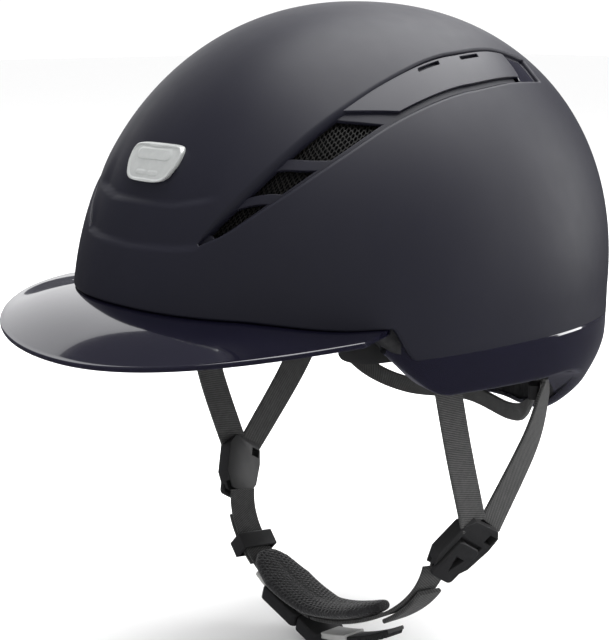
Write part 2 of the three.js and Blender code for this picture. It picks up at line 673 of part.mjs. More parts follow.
// The toothed strip is a comb of slanted teeth on a thin back.
function toothedStrip(length, width, back, tooth, count) {
  const pitch = length / count;
  const shape = new THREE.Shape();
  shape.moveTo(length, -back);
  shape.lineTo(0, -back);
  shape.lineTo(0, 0);
  for (let i = 0; i < count; i += 1) {
    shape.lineTo(i * pitch + 0.35 * pitch, tooth);
    shape.lineTo((i + 1) * pitch, 0);
  }
  shape.closePath();
  return closedSolid(geometryOf(plate(shape, width)).translate(0, 0, -width / 2).rotateX(Math.PI / 2));
}

const stripSpot = underStrap(0.27, 0.5, BUCKLE_DROP + 2.5);
add('toothed_strip', stripSpot.place(toothedStrip(stripSpot.length, 11, 1.8, 1.6, 7)), fittingBlack);

const tabSpot = underStrap(-0.47, -0.4, BUCKLE_DROP - 1);
const tabPlate = plate(roundedRectangle(tabSpot.length, 12, 1.5), 2.4, 0.4);
add('release_tab', tabSpot.place(movedTo(tabPlate, tabSpot.length / 2, 0, -1.2)), insertGrey);

export default helmet;
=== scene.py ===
import json
import math
from contextlib import contextmanager

import bmesh
import bpy
import numpy as np
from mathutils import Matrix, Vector


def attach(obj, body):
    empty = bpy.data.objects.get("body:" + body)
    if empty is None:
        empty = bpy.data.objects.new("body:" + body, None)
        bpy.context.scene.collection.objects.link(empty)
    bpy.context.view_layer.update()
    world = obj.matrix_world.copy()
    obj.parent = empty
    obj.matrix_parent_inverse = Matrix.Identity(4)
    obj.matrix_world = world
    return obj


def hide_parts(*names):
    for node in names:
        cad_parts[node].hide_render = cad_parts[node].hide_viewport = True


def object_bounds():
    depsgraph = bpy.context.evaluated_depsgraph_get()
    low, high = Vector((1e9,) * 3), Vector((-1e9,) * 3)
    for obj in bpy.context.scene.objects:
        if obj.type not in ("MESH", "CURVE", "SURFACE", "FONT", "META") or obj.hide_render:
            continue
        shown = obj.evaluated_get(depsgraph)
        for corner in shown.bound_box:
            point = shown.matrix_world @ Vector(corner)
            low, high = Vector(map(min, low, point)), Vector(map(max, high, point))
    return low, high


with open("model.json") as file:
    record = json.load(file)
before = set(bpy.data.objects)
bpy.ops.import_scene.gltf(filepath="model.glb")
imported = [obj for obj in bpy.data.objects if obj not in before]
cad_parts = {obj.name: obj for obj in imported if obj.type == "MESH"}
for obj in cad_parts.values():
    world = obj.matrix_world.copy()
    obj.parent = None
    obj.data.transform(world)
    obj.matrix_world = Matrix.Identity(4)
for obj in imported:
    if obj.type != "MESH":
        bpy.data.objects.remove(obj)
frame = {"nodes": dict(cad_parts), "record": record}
cad_low, cad_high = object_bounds()

# ---------- driving dimensions, the same as the CAD part's ----------

MM = 0.001
SHELL = {"half_width": 107, "front": 123.5, "back": 140.5, "crown": 134, "skirt": 234, "crown_shift": 12}
CAVITY = {"half_width": 79, "front": 98, "back": 106, "crown": 107, "skirt": 400, "crown_shift": 8}
PLAN_POWER = 2.32
SIDE_POWER = 2.12
FRONT_NARROWING = 0.02
NAPE_TUCK = 18
GAP = 0.3
SHELL_THICKNESS = 3
LINER_OFFSET = 4
BAND_THICKNESS = 2.6
BAND_FLANGE = 16
BAND_START = 66

PEAK = {"half_width": 108, "root": -60, "reach": 99, "power": 2.2, "tip_height": -8.8, "side_rise": 10.4}
PEAK_THICKNESS = 2.4
PEAK_SEAM = 1.1
PEAK_END = 66
PEAK_SWEEP = 80
PEAK_CAMBER = 2.2
PEAK_BEAD = 1.12

CHANNEL_TOP = [(19, 37), (26, 54), (39, 77), (51, 91.5), (66, 103), (85, 111), (108, 113.5), (128, 108)]
CHANNEL_LOW = [(19, 35), (26, 40), (38, 54), (53, 71), (67, 84), (84, 93), (103, 97.5), (122, 97)]
BAR_SLANT = 0.1875
FRAME_DEPTH = 2.6
FRAME_THICKNESS = 2
COVER_DEPTH = 0.8

STRAP_WIDTH = 15.5
STRAP_THICKNESS = 1.6

# ---------- small helpers ----------


def ease(low, high, value):
    t = np.clip((value - low) / (high - low), 0, 1)
    return t * t * (3 - 2 * t)


def mix(a, b, share):
    return a + (b - a) * share


def signed_power(value, power):
    return np.sign(value) * np.abs(value) ** power


def unit(vectors):
    return vectors / np.maximum(np.linalg.norm(vectors, axis=-1, keepdims=True), 1e-9)


def distance_along(line):
    """How far along a line of points each of them lies."""
    return np.concatenate([[0], np.cumsum(np.linalg.norm(np.diff(line, axis=0), axis=1))])


def from_front(around):
    """How far round an angle is from the front, 0 to 180 degrees on either side."""
    return np.abs((around + 180) % 360 - 180)


# ---------- the dome surfaces ----------


def dome_point(dome, around, height, inset=0.0):
    """A point on a rounded dome; around is in degrees, 0 at the front and 90 on the wearer's left."""
    turn = np.radians(around)
    top = np.where(height >= 0, dome["crown"] - inset, dome["skirt"])
    lift = np.minimum(np.abs(height) / top, 1)
    spread = (1 - lift**SIDE_POWER) ** (1 / SIDE_POWER)
    along = signed_power(-np.cos(turn), 2 / PLAN_POWER)
    across = signed_power(np.sin(turn), 2 / PLAN_POWER)
    length = np.where(along < 0, dome["front"], dome["back"])
    shift = dome["crown_shift"] * np.maximum(height, 0) / dome["crown"]
    x = (dome["half_width"] - inset) * (1 + FRONT_NARROWING * along) * spread * across
    y = (length - inset) * spread * along + shift
    return np.stack(np.broadcast_arrays(x, y, height), -1)


def shell_point(around, height, inset=0.0):
    """The outside of the helmet, which pulls in towards the neck low down at the back."""
    tuck = NAPE_TUCK * ease(95, 130, from_front(around)) * ease(20, 75, -height)
    return dome_point(SHELL, around, height, inset + tuck)


def shell_edge(around):
    side = from_front(around)
    return 8.5 - 4 * ease(30, 60, side) - 14.5 * ease(66, 72, side) - 2 * ease(100, 180, side)


def band_edge(around):
    side = from_front(around)
    return -4 - 24 * ease(60, 80, side) - 2 * ease(80, 105, side) - 40 * ease(105, 160, side)


# Two soft steps run round the forehead between the channels: each is a line of (angle, height) and the
# amount by which the shell above it stands back.
STEPS = [
    {"sides": [0, 10, 16, 24], "heights": [51, 51, 53, 55.5], "fade": (17, 24), "inset": 1.5, "reach": 14},
    {"sides": [0, 12, 19, 28], "heights": [33, 34, 35.5, 41], "fade": (17, 23), "inset": 1.5, "reach": 12},
]
STEP_WIDTH = 2.0


def step_inset(around, height):
    side = from_front(around)
    total = 0.0
    for step in STEPS:
        above = height - np.interp(side, step["sides"], step["heights"])
        rise = ease(-STEP_WIDTH / 2, STEP_WIDTH / 2, above) * np.exp(-np.maximum(above, 0) / step["reach"])
        total = total + step["inset"] * rise * (1 - ease(*step["fade"], side))
    return total


def outer_point(around, height, inset=0.0):
    """The painted surface, with the soft steps over the forehead."""
    return shell_point(around, height, inset + step_inset(around, height))


# ---------- air channels ----------


def knot_curve(knots, share):
    """A smooth curve through the knots, share running from 0 to 1."""
    knots = np.array(knots, float)
    position = np.clip(share, 0, 1) * (len(knots) - 1)
    index = np.minimum(position.astype(int), len(knots) - 2)
    t = (position - index)[..., None]
    before = knots[np.maximum(index - 1, 0)]
    start, end = knots[index], knots[index + 1]
    after = knots[np.minimum(index + 2, len(knots) - 1)]
    slope_in, slope_out = (end - before) / 2, (after - start) / 2
    cubic = (2 * start - 2 * end + slope_in + slope_out) * t**3
    square = (-3 * start + 3 * end - 2 * slope_in - slope_out) * t**2
    return cubic + square + slope_in * t + start


def channel_flat(along, across):
    """The (angle, height) of a place in the channel: along from the front tip, across from the low edge."""
    low = knot_curve(CHANNEL_LOW, along)
    top = knot_curve(CHANNEL_TOP, along)
    return mix(low, top, np.asarray(across)[..., None])


def channel_width(along):
    low, top = channel_flat(along, np.zeros_like(along)), channel_flat(along, np.ones_like(along))
    gap = shell_point(top[..., 0], top[..., 1]) - shell_point(low[..., 0], low[..., 1])
    return np.linalg.norm(gap, axis=-1)


# ---------- meshes ----------


def link_object(name, data):
    thing = bpy.data.objects.new(name, data)
    bpy.context.scene.collection.objects.link(thing)
    return thing


@contextmanager
def reworking(mesh):
    """Opens a mesh for bmesh operations and writes the result back."""
    work = bmesh.new()
    work.from_mesh(mesh)
    yield work
    work.to_mesh(mesh)
    work.free()


def make_piece(name, points, faces, material, normals=None, uv=None, sharp=None):
    """A mesh object from points in millimetres, faces, and optional normals or flat strap coordinates."""
    mesh = bpy.data.meshes.new(name)
    mesh.from_pydata((np.asarray(points) * MM).tolist(), [], [tuple(int(i) for i in f) for f in faces])
    mesh.polygons.foreach_set("use_smooth", [True] * len(mesh.polygons))
    if uv is not None:
        layer = mesh.uv_layers.new(name="strap")
        corner = np.empty(len(mesh.loops), int)
        mesh.loops.foreach_get("vertex_index", corner)
        layer.data.foreach_set("uv", np.asarray(uv, float)[corner].ravel())
    if sharp is not None:
        mesh.set_sharp_from_angle(angle=math.radians(sharp))
    if normals is not None:
        mesh.normals_split_custom_set_from_vertices(normals.tolist())
    mesh.materials.append(material)
    return link_object(name, mesh)


def face_outwards(piece):
    """Turns the faces of a closed mesh so that they point outwards."""
    with reworking(piece.data) as work:
        bmesh.ops.recalc_face_normals(work, faces=work.faces)
    return piece


def mirror_x(points):
    return points * np.array([-1.0, 1.0, 1.0])


BODY_OF = {node: body for body, nodes in frame["record"]["behaviour"]["bodies"].items() for node in nodes}


def stand_for(piece, node):
    """Puts a piece in the place of a CAD node: hides the node and joins the piece to the same body."""
    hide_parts(node)
    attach(piece, BODY_OF[node])
    return piece


def grid_quads(rows, columns, ring=False, first=0):
    """Faces of a grid of rows by columns of points; ring joins the last row to the first."""
    i, j = np.meshgrid(np.arange(rows if ring else rows - 1), np.arange(columns - 1), indexing="ij")
    here = i * columns + j
    there = (i + 1) % rows * columns + j
    return np.stack([here, there, there + 1, here + 1], -1).reshape(-1, 4) + first


def sweep(name, sections, material, uv=None, ring=False, sharp=35):
    """A closed body through a row of closed sections, with the ends capped."""
    rows, columns, _ = sections.shape
    i, j = np.meshgrid(np.arange(rows if ring else rows - 1), np.arange(columns), indexing="ij")
    here, beside = i * columns + j, i * columns + (j + 1) % columns
    there, corner = (i + 1) % rows * columns + j, (i + 1) % rows * columns + (j + 1) % columns
    faces = np.stack([here, there, corner, beside], -1).reshape(-1, 4).tolist()
    if not ring:
        faces.append(list(range(columns)))
        faces.append(list(range((rows - 1) * columns, rows * columns))[::-1])
    flat_uv = None if uv is None else uv.reshape(-1, 2)
    piece = make_piece(name, sections.reshape(-1, 3), faces, material, uv=flat_uv, sharp=sharp)
    return face_outwards(piece)


# ---------- sheets that are cut and given thickness ----------


def inside_outline(flat, outline):
    """Even-odd test of flat points against a closed outline."""
    x, y = flat[:, 0:1], flat[:, 1:2]
    ax, ay = outline.T
    bx, by = np.roll(outline, -1, 0).T
    crosses = (ay > y) != (by > y)
    reach = ax + (y - ay) * (bx - ax) / np.where(by == ay, 1e-9, by - ay)
    return (crosses & (x < reach)).sum(1) % 2 == 1


def nearest_on_outline(points, outline):
    """The nearest point of a closed outline, its distance, and the number of its stretch."""
    start = outline
    stretch = np.roll(outline, -1, 0) - start
    offset = points[:, None] - start[None]
    share = np.clip((offset * stretch).sum(-1) / np.maximum((stretch**2).sum(-1), 1e-12), 0, 1)
    gap = offset - share[..., None] * stretch
    distance = np.linalg.norm(gap, axis=-1)
    best = distance.argmin(1)
    row = np.arange(len(points))
    return points - gap[row, best], distance[row, best], best


CUT_MARGIN = 4


class Sheet:
    """A surface of points with normals, and its faces, which can be cut, rolled at its edges and backed."""

    def __init__(self, points, normals, flat, quads):
        self.points, self.normals, self.flat = points, normals, flat
        self.faces = quads
        self.extra = []

    def cut(self, outline_flat, outline):
        """Moves the points beside an outline onto it and drops the faces inside it."""
        low, high = outline_flat.min(0) - CUT_MARGIN, outline_flat.max(0) + CUT_MARGIN
        near = np.flatnonzero(((self.flat > low) & (self.flat < high)).all(1))
        foot, gap, _ = nearest_on_outline(self.points[near], outline)
        side = np.ones(len(self.points), int)
        side[near] = np.where(inside_outline(self.flat[near], outline_flat), -1, 1)
        distance = np.full(len(self.points), np.inf)
        distance[near] = gap
        target = self.points.copy()
        target[near] = foot
        edges = np.concatenate([self.faces[:, [k, (k + 1) % 4]] for k in range(4)])
        crossing = edges[side[edges[:, 0]] * side[edges[:, 1]] < 0]
        first_is_nearer = distance[crossing[:, 0]] < distance[crossing[:, 1]]
        snapped = np.unique(np.where(first_is_nearer, crossing[:, 0], crossing[:, 1]))
        self.points[snapped] = target[snapped]
        side[snapped] = 0
        corners = side[self.faces]
        middle_inside = inside_outline(self.flat[self.faces].mean(1), outline_flat)
        flat_face = (corners == 0).all(1)
        some_inside = (corners < 0).any(1)
        some_outside = (corners > 0).any(1) | (flat_face & ~middle_inside)
        partly = some_inside & some_outside
        for face, corner in zip(self.faces[partly], corners[partly]):
            k = int(np.argmax(corner > 0))
            self.extra.append((face[k - 1], face[k], face[(k + 1) % 4]))
        self.faces = self.faces[~some_inside & some_outside]

    def all_faces(self):
        return [tuple(f) for f in self.faces.tolist()] + [tuple(int(i) for i in f) for f in self.extra]

    def border_loops(self):
        """The closed loops of the edges that only one face has, in that face's direction."""
        every = self.all_faces()
        directed = {(f[k - 1], f[k]) for f in every for k in range(len(f))}
        following = {a: b for a, b in directed if (b, a) not in directed}
        loops = []
        while following:
            start, here = following.popitem()
            loop = [start]
            while here != start:
                loop.append(here)
                here = following.pop(here)
            loops.append(np.array(loop))
        return loops

    def finish(self, name, material, roll, thickness, steps=5, cap=None):
        """Rolls every edge inwards, backs the sheet and makes the piece. roll(points) gives, for the points
        of an edge, how far they go over the opening, how far they sink and the full depth of the wall."""
        count = len(self.points)
        front = self.all_faces()
        if cap is not None:
            front.append(tuple(cap))
        points = [self.points, self.points - thickness * self.normals]
        normals = [self.normals, -self.normals]
        faces = front + [tuple(i + count for i in reversed(f)) for f in front]
        total = 2 * count
        capped = set(() if cap is None else cap)
        for loop in self.border_loops():
            if capped.intersection(loop.tolist()):
                continue
            edge, normal = self.points[loop], self.normals[loop]
            along = unit(np.roll(edge, -2, 0) - np.roll(edge, 2, 0))
            away = unit(np.cross(along, normal))
            reach, sink, depth = (np.asarray(v, float).reshape(-1, 1) for v in roll(edge))
            previous = loop
            for k in range(1, steps + 2):
                turn = math.pi / 2 * min(k / steps, 1)
                drop = depth if k > steps else sink * (1 - math.cos(turn))
                points.append(edge + away * reach * math.sin(turn) - normal * drop)
                normals.append(unit(normal * reach * math.cos(turn) + away * sink * math.sin(turn)))
                ring = np.arange(total, total + len(loop))
                total += len(loop)
                faces += zip(np.roll(previous, -1), previous, ring, np.roll(ring, -1))
                previous = ring
            inner = loop + count
            faces += zip(np.roll(previous, -1), previous, inner, np.roll(inner, -1))
        return make_piece(name, np.concatenate(points), faces, material, normals=np.concatenate(normals))


def grid_normals(grid, ring=False):
    """Outward normals of a grid of points whose first direction goes round and second goes up."""
    if ring:
        around = np.roll(grid, -1, 0) - np.roll(grid, 1, 0)
    else:
        around = np.gradient(grid, axis=0)
    return unit(np.cross(around, np.gradient(grid, axis=1)))


def smooth_outline(corners, keep=0.62, rounds=3):
    """A closed outline through the stretches between corners; keep is the straight share of each."""
    outline = np.array(corners, float)
    following = np.roll(outline, -1, 0)
    middle = (outline + following) / 2
    outline = np.stack([mix(middle, outline, keep), mix(middle, following, keep)], 1).reshape(-1, 2)
    for _ in range(rounds):
        following = np.roll(outline, -1, 0)
        outline = np.stack([mix(outline, following, 0.25), mix(outline, following, 0.75)], 1).reshape(-1, 2)
    return outline


# ---------- materials ----------


class Recipe:
    """A node material under construction, with one Principled shader."""

    def __init__(self, name, roughness, **values):
        self.material = bpy.data.materials.new(name)
        self.material.use_nodes = True
        self.tree = self.material.node_tree
        self.shader = self.tree.nodes["Principled BSDF"]
        self.shader.inputs["Roughness"].default_value = roughness
        for socket, value in values.items():
            self.shader.inputs[socket.replace("_", " ")].default_value = value
        self.place = self.node("TexCoord").outputs["Object"]

    def node(self, kind, settings=None, **inputs):
        made = self.tree.nodes.new("ShaderNode" + kind)
        for name, value in (settings or {}).items():
            setattr(made, name, value)
        for name, value in inputs.items():
            self.feed(made.inputs[name], value)
        return made

    def feed(self, socket, value):
        if isinstance(value, bpy.types.NodeSocket):
            self.tree.links.new(value, socket)
        else:
            socket.default_value = value

    def math(self, operation, first, second=0.0):
        made = self.node("Math", {"operation": operation})
        self.feed(made.inputs[0], first)
        self.feed(made.inputs[1], second)
        return made.outputs[0]

    def grain(self, size, detail=3.0, stretch=(1, 1, 1)):
        """Noise whose features are size millimetres across."""
        spread = self.node("VectorMath", {"operation": "MULTIPLY"})
        self.feed(spread.inputs[0], self.place)
        self.feed(spread.inputs[1], [1 / s for s in stretch])
        noise = self.node("TexNoise", Vector=spread.outputs[0], Scale=1 / (size * MM), Detail=detail)
        return noise.outputs["Fac"]

    def cells(self, size):
        made = self.node("TexVoronoi", Vector=self.place, Scale=1 / (size * MM))
        return made.outputs["Distance"]

    def colours(self, factor, first, second):
        made = self.node("Mix", {"data_type": "RGBA"})
        self.feed(made.inputs["Factor"], factor)
        for socket, value in zip([s for s in made.inputs if s.type == "RGBA"], (first, second)):
            socket.default_value = (*value, 1)
        self.feed(self.shader.inputs["Base Color"], [s for s in made.outputs if s.type == "RGBA"][0])

    def roughness(self, factor, low, high):
        made = self.node("MapRange", Value=factor)
        made.inputs["To Min"].default_value = low
        made.inputs["To Max"].default_value = high
        self.feed(self.shader.inputs["Roughness"], made.outputs["Result"])

    def bumps(self, *layers):
        """Bump from layers of (height, depth in millimetres), each on top of the one before."""
        normal = None
        for height, depth in layers:
            made = self.node("Bump", Height=height, Distance=depth * MM)
            if normal is not None:
                self.feed(made.inputs["Normal"], normal)
            normal = made.outputs["Normal"]
        self.feed(self.shader.inputs["Normal"], normal)
        return self.material


def plain_look(name, roughness, colours, gloss, bumps, **values):
    """A material of two colours and two roughnesses, each mixed by noise, under layers of fine bumps. Noise
    is (size in millimetres, detail), with a stretch where the surface is brushed."""
    look = Recipe(name, roughness, **values)
    noise, first, second = colours
    look.colours(look.grain(*noise), first, second)
    noise, low, high = gloss
    look.roughness(look.grain(*noise), low, high)
    return look.bumps(*[(look.grain(*noise), depth) for noise, depth in bumps])


def painted_shade_cell_look(name, roughness, size, colours, gloss, cell_depth, fine, **values):
    """A material of small raised cells, painted lighter in their middles and darker in the hollows between
    them as painted shade, with finer bumps on top.
    """
    look = Recipe(name, roughness, **values)
    cells = look.cells(size)
    # Painted shade: the colour follows the distance from each cell's middle, darker towards the sunk edges
    # between cells.
    look.colours(cells, *colours)
    noise, low, high = gloss
    look.roughness(look.grain(*noise), low, high)
    noise, depth = fine
    return look.bumps((look.math("MULTIPLY", cells, -1.0), cell_depth), (look.grain(*noise), depth))


YARN_PITCH = 1.15
YARN_SLANT = 3.4
CORD_PITCH = 0.78


def twill_webbing():
    """Dark grey twill: slanted yarns over lengthwise cords. The strap coordinates are millimetres."""
    look = Recipe("webbing", 0.75, Specular_IOR_Level=0.35, Sheen_Weight=0.12, Sheen_Roughness=0.4)
    strap = look.node("UVMap", {"uv_map": "strap"})
    parts = look.node("SeparateXYZ", Vector=strap.outputs["UV"])
    length, width = parts.outputs["X"], parts.outputs["Y"]
    run = look.math("MULTIPLY", length, 2 * math.pi / YARN_PITCH)
    slant = look.math("ADD", run, look.math("MULTIPLY", width, YARN_SLANT))
    yarns = look.math("SINE", slant)
    cords = look.math("ABSOLUTE", look.math("SINE", look.math("MULTIPLY", width, math.pi / CORD_PITCH)))
    weave = look.math("ADD", look.math("MULTIPLY", yarns, 0.35), look.math("MULTIPLY", cords, 0.3))
    # Painted shade and random tone: the colour follows the weave's height, darker in its grooves, plus
    # noise.
    weave_shade_and_tone = look.math("ADD", weave, look.math("MULTIPLY", look.grain(3, 3), 0.55))
    look.colours(weave_shade_and_tone, (0.014, 0.014, 0.0145), (0.072, 0.072, 0.071))
    look.roughness(look.grain(2, 3), 0.62, 0.85)
    return look.bumps((weave, 0.16), (look.grain(0.12, 2), 0.03))


# Soft-touch navy lacquer: a fine even grain with slightly polished and dusty areas.
MATTE = plain_look("shell_matte", 0.5, ((38, 4), (0.0085, 0.0085, 0.0165), (0.011, 0.011, 0.0205)),
                   ((9, 5), 0.44, 0.53), [((0.35, 2), 0.012), ((1.6, 2), 0.006)], Specular_IOR_Level=0.42)
# The cover panels: the shell's navy with a silkier finish.
SATIN = plain_look("shell_satin", 0.36, ((30, 4), (0.012, 0.012, 0.02), (0.016, 0.016, 0.025)),
                   ((7, 5), 0.34, 0.4), [((0.35, 2), 0.004)], Specular_IOR_Level=0.5)
# Deep navy lacquer with a clear coat and a very faint orange peel.
GLOSS = plain_look("navy_gloss", 0.1, ((20, 3), (0.0035, 0.0032, 0.0085), (0.005, 0.0045, 0.0115)),
                   ((6, 4), 0.07, 0.13), [((7, 2), 0.004)], Coat_Weight=1.0, Coat_Roughness=0.03)
# Satin aluminium brushed across.
SILVER = plain_look("badge_silver", 0.3, ((4, 4), (0.62, 0.64, 0.62), (0.8, 0.82, 0.8)),
                    ((0.25, 3, (14, 1, 1)), 0.26, 0.34), [((0.16, 2, (20, 1, 1)), 0.003)], Metallic=0.55)
GRILLE = plain_look("vent_mesh", 0.55, ((2.5, 3), (0.003, 0.003, 0.0025), (0.008, 0.007, 0.004)),
                    ((1.2, 3), 0.38, 0.6), [((0.3, 2), 0.015)], Specular_IOR_Level=0.35)
# Expanded foam: rounded beads pressed together, with a dark moulding skin; the beads carry painted shade,
# darker in the hollows between them.
FOAM = painted_shade_cell_look("liner_foam", 0.8, 3.2, ((0.022, 0.022, 0.024), (0.009, 0.009, 0.01)),
                 ((2, 3), 0.7, 0.9), 0.35, ((0.4, 2), 0.03), Specular_IOR_Level=0.3)
# Black knitted lining: small raised loops over a soft pile, with painted shade darker in the hollows
# between the loops.
KNIT = painted_shade_cell_look("pad_fabric", 0.9, 0.9, ((0.022, 0.022, 0.024), (0.005, 0.005, 0.006)),
                 ((1.5, 3), 0.8, 0.98), 0.22, ((0.2, 2), 0.04), Sheen_Weight=0.25, Sheen_Roughness=0.5)
TWILL = twill_webbing()
MOULDED = plain_look("fitting_black", 0.42, ((7, 3), (0.0125, 0.0125, 0.013), (0.02, 0.02, 0.0205)),
                     ((3, 4), 0.36, 0.52), [((0.28, 2), 0.014)], Specular_IOR_Level=0.45)
PALE = plain_look("insert_grey", 0.4, ((5, 3), (0.33, 0.33, 0.325), (0.42, 0.42, 0.41)),
                  ((2.5, 4), 0.34, 0.5), [((0.3, 2), 0.01)])
STEEL = plain_look("magnet_steel", 0.3, ((3, 3), (0.5, 0.51, 0.52), (0.62, 0.63, 0.64)),
                   ((0.4, 3), 0.22, 0.4), [((0.4, 2), 0.006)], Metallic=1.0)

# ---------- outer shell ----------

SHELL_COLUMNS = 400
SHELL_ROWS = 175
CROWN_END = 0.995
CAP_ROLL = 3.2
REAR_CAP_ROLL = 1.3
CAP_SINK = 3.4
LOW_ROLL = 1.5
EDGE_SHARE = 0.22
CHANNEL_WALL = 4.6
HEM = {"roll": 1.0, "wall": 2.6}


def channel_outline(samples=140):
    """The channel's closed outline, and how far its edge rolls over the opening and sinks at each point."""
    share = np.linspace(0, 1, samples)
    top = channel_flat(share, np.ones(samples))
    low = channel_flat(share, np.zeros(samples))
    room = EDGE_SHARE * channel_width(share)
    cap = np.minimum(mix(CAP_ROLL, REAR_CAP_ROLL, ease(0.42, 0.7, share)), room)
    sill = np.minimum(LOW_ROLL, room)
    flat = np.concatenate([top, low[::-1]])
    reach = np.concatenate([cap, sill[::-1]])
    sink = np.concatenate([np.minimum(CAP_SINK, 1.3 * cap), 0.8 * sill[::-1]])
    return flat, reach, sink


def make_outer_shell():
    around = np.arange(SHELL_COLUMNS) * 360 / SHELL_COLUMNS
    share = np.linspace(0, CROWN_END, SHELL_ROWS)
    rise = np.sin(share * np.pi / 2) ** (2 / SIDE_POWER)
    angle, lift = np.meshgrid(around, rise, indexing="ij")
    height = mix(shell_edge(angle), SHELL["crown"], lift)
    grid = outer_point(angle, height)
    quads = grid_quads(SHELL_COLUMNS, SHELL_ROWS, ring=True)
    flat = np.stack([angle, height], -1).reshape(-1, 2)
    sheet = Sheet(grid.reshape(-1, 3), grid_normals(grid, ring=True).reshape(-1, 3), flat, quads)
    outline_flat, reach, sink = channel_outline()
    outlines = []
    for mirror in (1, -1):
        side_flat = outline_flat * [mirror, 1] + [0 if mirror > 0 else 360, 0]
        outline = outer_point(side_flat[:, 0], side_flat[:, 1])
        sheet.cut(side_flat, outline)
        outlines.append(outline)

    def roll(edge):
        for outline in outlines:
            _, gap, stretch = nearest_on_outline(edge, outline)
            if gap.max() < 0.5:
                return reach[stretch], sink[stretch], np.maximum(sink[stretch] + 0.4, CHANNEL_WALL)
        plain = np.ones(len(edge))
        return HEM["roll"] * plain, HEM["roll"] * plain, HEM["wall"] * plain

    crown_ring = [int(i) for i in np.arange(SHELL_COLUMNS) * SHELL_ROWS + SHELL_ROWS - 1]
    piece = sheet.finish("shell_lacquered", MATTE, roll, SHELL_THICKNESS, cap=crown_ring)
    return stand_for(piece, "outer_shell")


# ---------- vents ----------

# Each window: start, end, low and high, and the slant of its front end.
WINDOWS = [
    (0.1, 0.28, 0.1, 0.88, 0.06),
    (0.308, 0.39, 0.1, 0.88, BAR_SLANT),
    (0.418, 0.562, 0.1, 0.88, BAR_SLANT),
]
FRAME_AREA = (0.012, 0.9, 0.03, 0.93)
COVER_AREA = (0.632, 0.905, 0.22, 0.88)
COVER_SLANT = 0.226
COVER_NOTCHES = [(0.655, 0.72, 0.76, 0.86), (0.765, 0.815, 0.76, 0.86)]
OUTLET_AREA = (0.91, 0.985, 0.05, 0.95)
WINDOW_STEPS = 14


def area_point(start, end, low, high, front_slant=0, rear_slant=0):
    """A place in an area of the channel whose ends may slant; u and v run from 0 to 1."""

    def place(u, v):
        across = mix(low, high, v)
        along = mix(start - front_slant * across, end - rear_slant * across, u)
        return channel_flat(along, across)

    return place


def area_outline(place):
    """The closed outline of an area, with small round corners."""
    edge = np.linspace(0, 1, WINDOW_STEPS)
    u = np.concatenate([edge, 1 + 0 * edge[1:], edge[-2::-1], 0 * edge[1:-1]])
    v = np.concatenate([0 * edge, edge[1:], 1 + 0 * edge[1:], edge[-2:0:-1]])
    return smooth_outline(place(u, v), 0.9, 2)


def channel_sheet(place, columns, rows, inset):
    """A sheet over an area of the channel at a depth below the shell."""
    u, v = np.meshgrid(np.linspace(0, 1, columns), np.linspace(0, 1, rows), indexing="ij")
    flat = place(u, v)
    grid = shell_point(flat[..., 0], flat[..., 1], inset)
    quads = grid_quads(columns, rows)
    return Sheet(grid.reshape(-1, 3), grid_normals(grid).reshape(-1, 3), flat.reshape(-1, 2), quads)


def cut_area(sheet, place, inset):
    outline_flat = area_outline(place)
    sheet.cut(outline_flat, shell_point(outline_flat[:, 0], outline_flat[:, 1], inset))


def mirrored_piece(piece, name):
    """The same piece on the wearer's right."""
    twin = link_object(name, piece.data.copy())
    mesh = twin.data
    points = np.empty(len(mesh.vertices) * 3)
    mesh.vertices.foreach_get("co", points)
    mesh.vertices.foreach_set("co", mirror_x(points.reshape(-1, 3)).ravel())
    mesh.flip_normals()
    mesh.update()
    return twin


def make_both(make, node, name):
    """Makes a piece for the wearer's left and its mirror image for the right."""
    left = make(f"{name}_left")
    right = mirrored_piece(left, f"{name}_right")
    stand_for(left, f"{node}_left")
    stand_for(right, f"{node}_right")


def small_roll(reach, depth):
    def roll(edge):
        plain = np.ones(len(edge))
        return reach * plain, reach * plain, depth * plain

    return roll


def make_vent_frame(name):
    sheet = channel_sheet(area_point(*FRAME_AREA), 420, 70, FRAME_DEPTH)
    for window in WINDOWS:
        cut_area(sheet, area_point(*window, BAR_SLANT), FRAME_DEPTH)
    return sheet.finish(name, MATTE, small_roll(0.45, 1.8), FRAME_THICKNESS, steps=3)


def make_vent_cover(name):
    """The satin cover panel, with two dark outlet notches under the cap edge."""
    sheet = channel_sheet(area_point(*COVER_AREA, COVER_SLANT), 260, 50, COVER_DEPTH)
    for notch in COVER_NOTCHES:
        cut_area(sheet, area_point(*notch), COVER_DEPTH)
    return sheet.finish(name, SATIN, small_roll(0.3, 1.3), 1.5, steps=4)


def make_vent_outlet(name):
    sheet = channel_sheet(area_point(*OUTLET_AREA), 30, 40, FRAME_DEPTH - 1)
    return sheet.finish(name, GLOSS, small_roll(0.6, 1.8), FRAME_THICKNESS, steps=4)


HONEYCOMB = {"pitch": 2.3, "web": 0.5, "depth": 1.3, "start": 0.03, "end": 0.57, "half_rows": 6}
HONEYCOMB_SAMPLES = 200


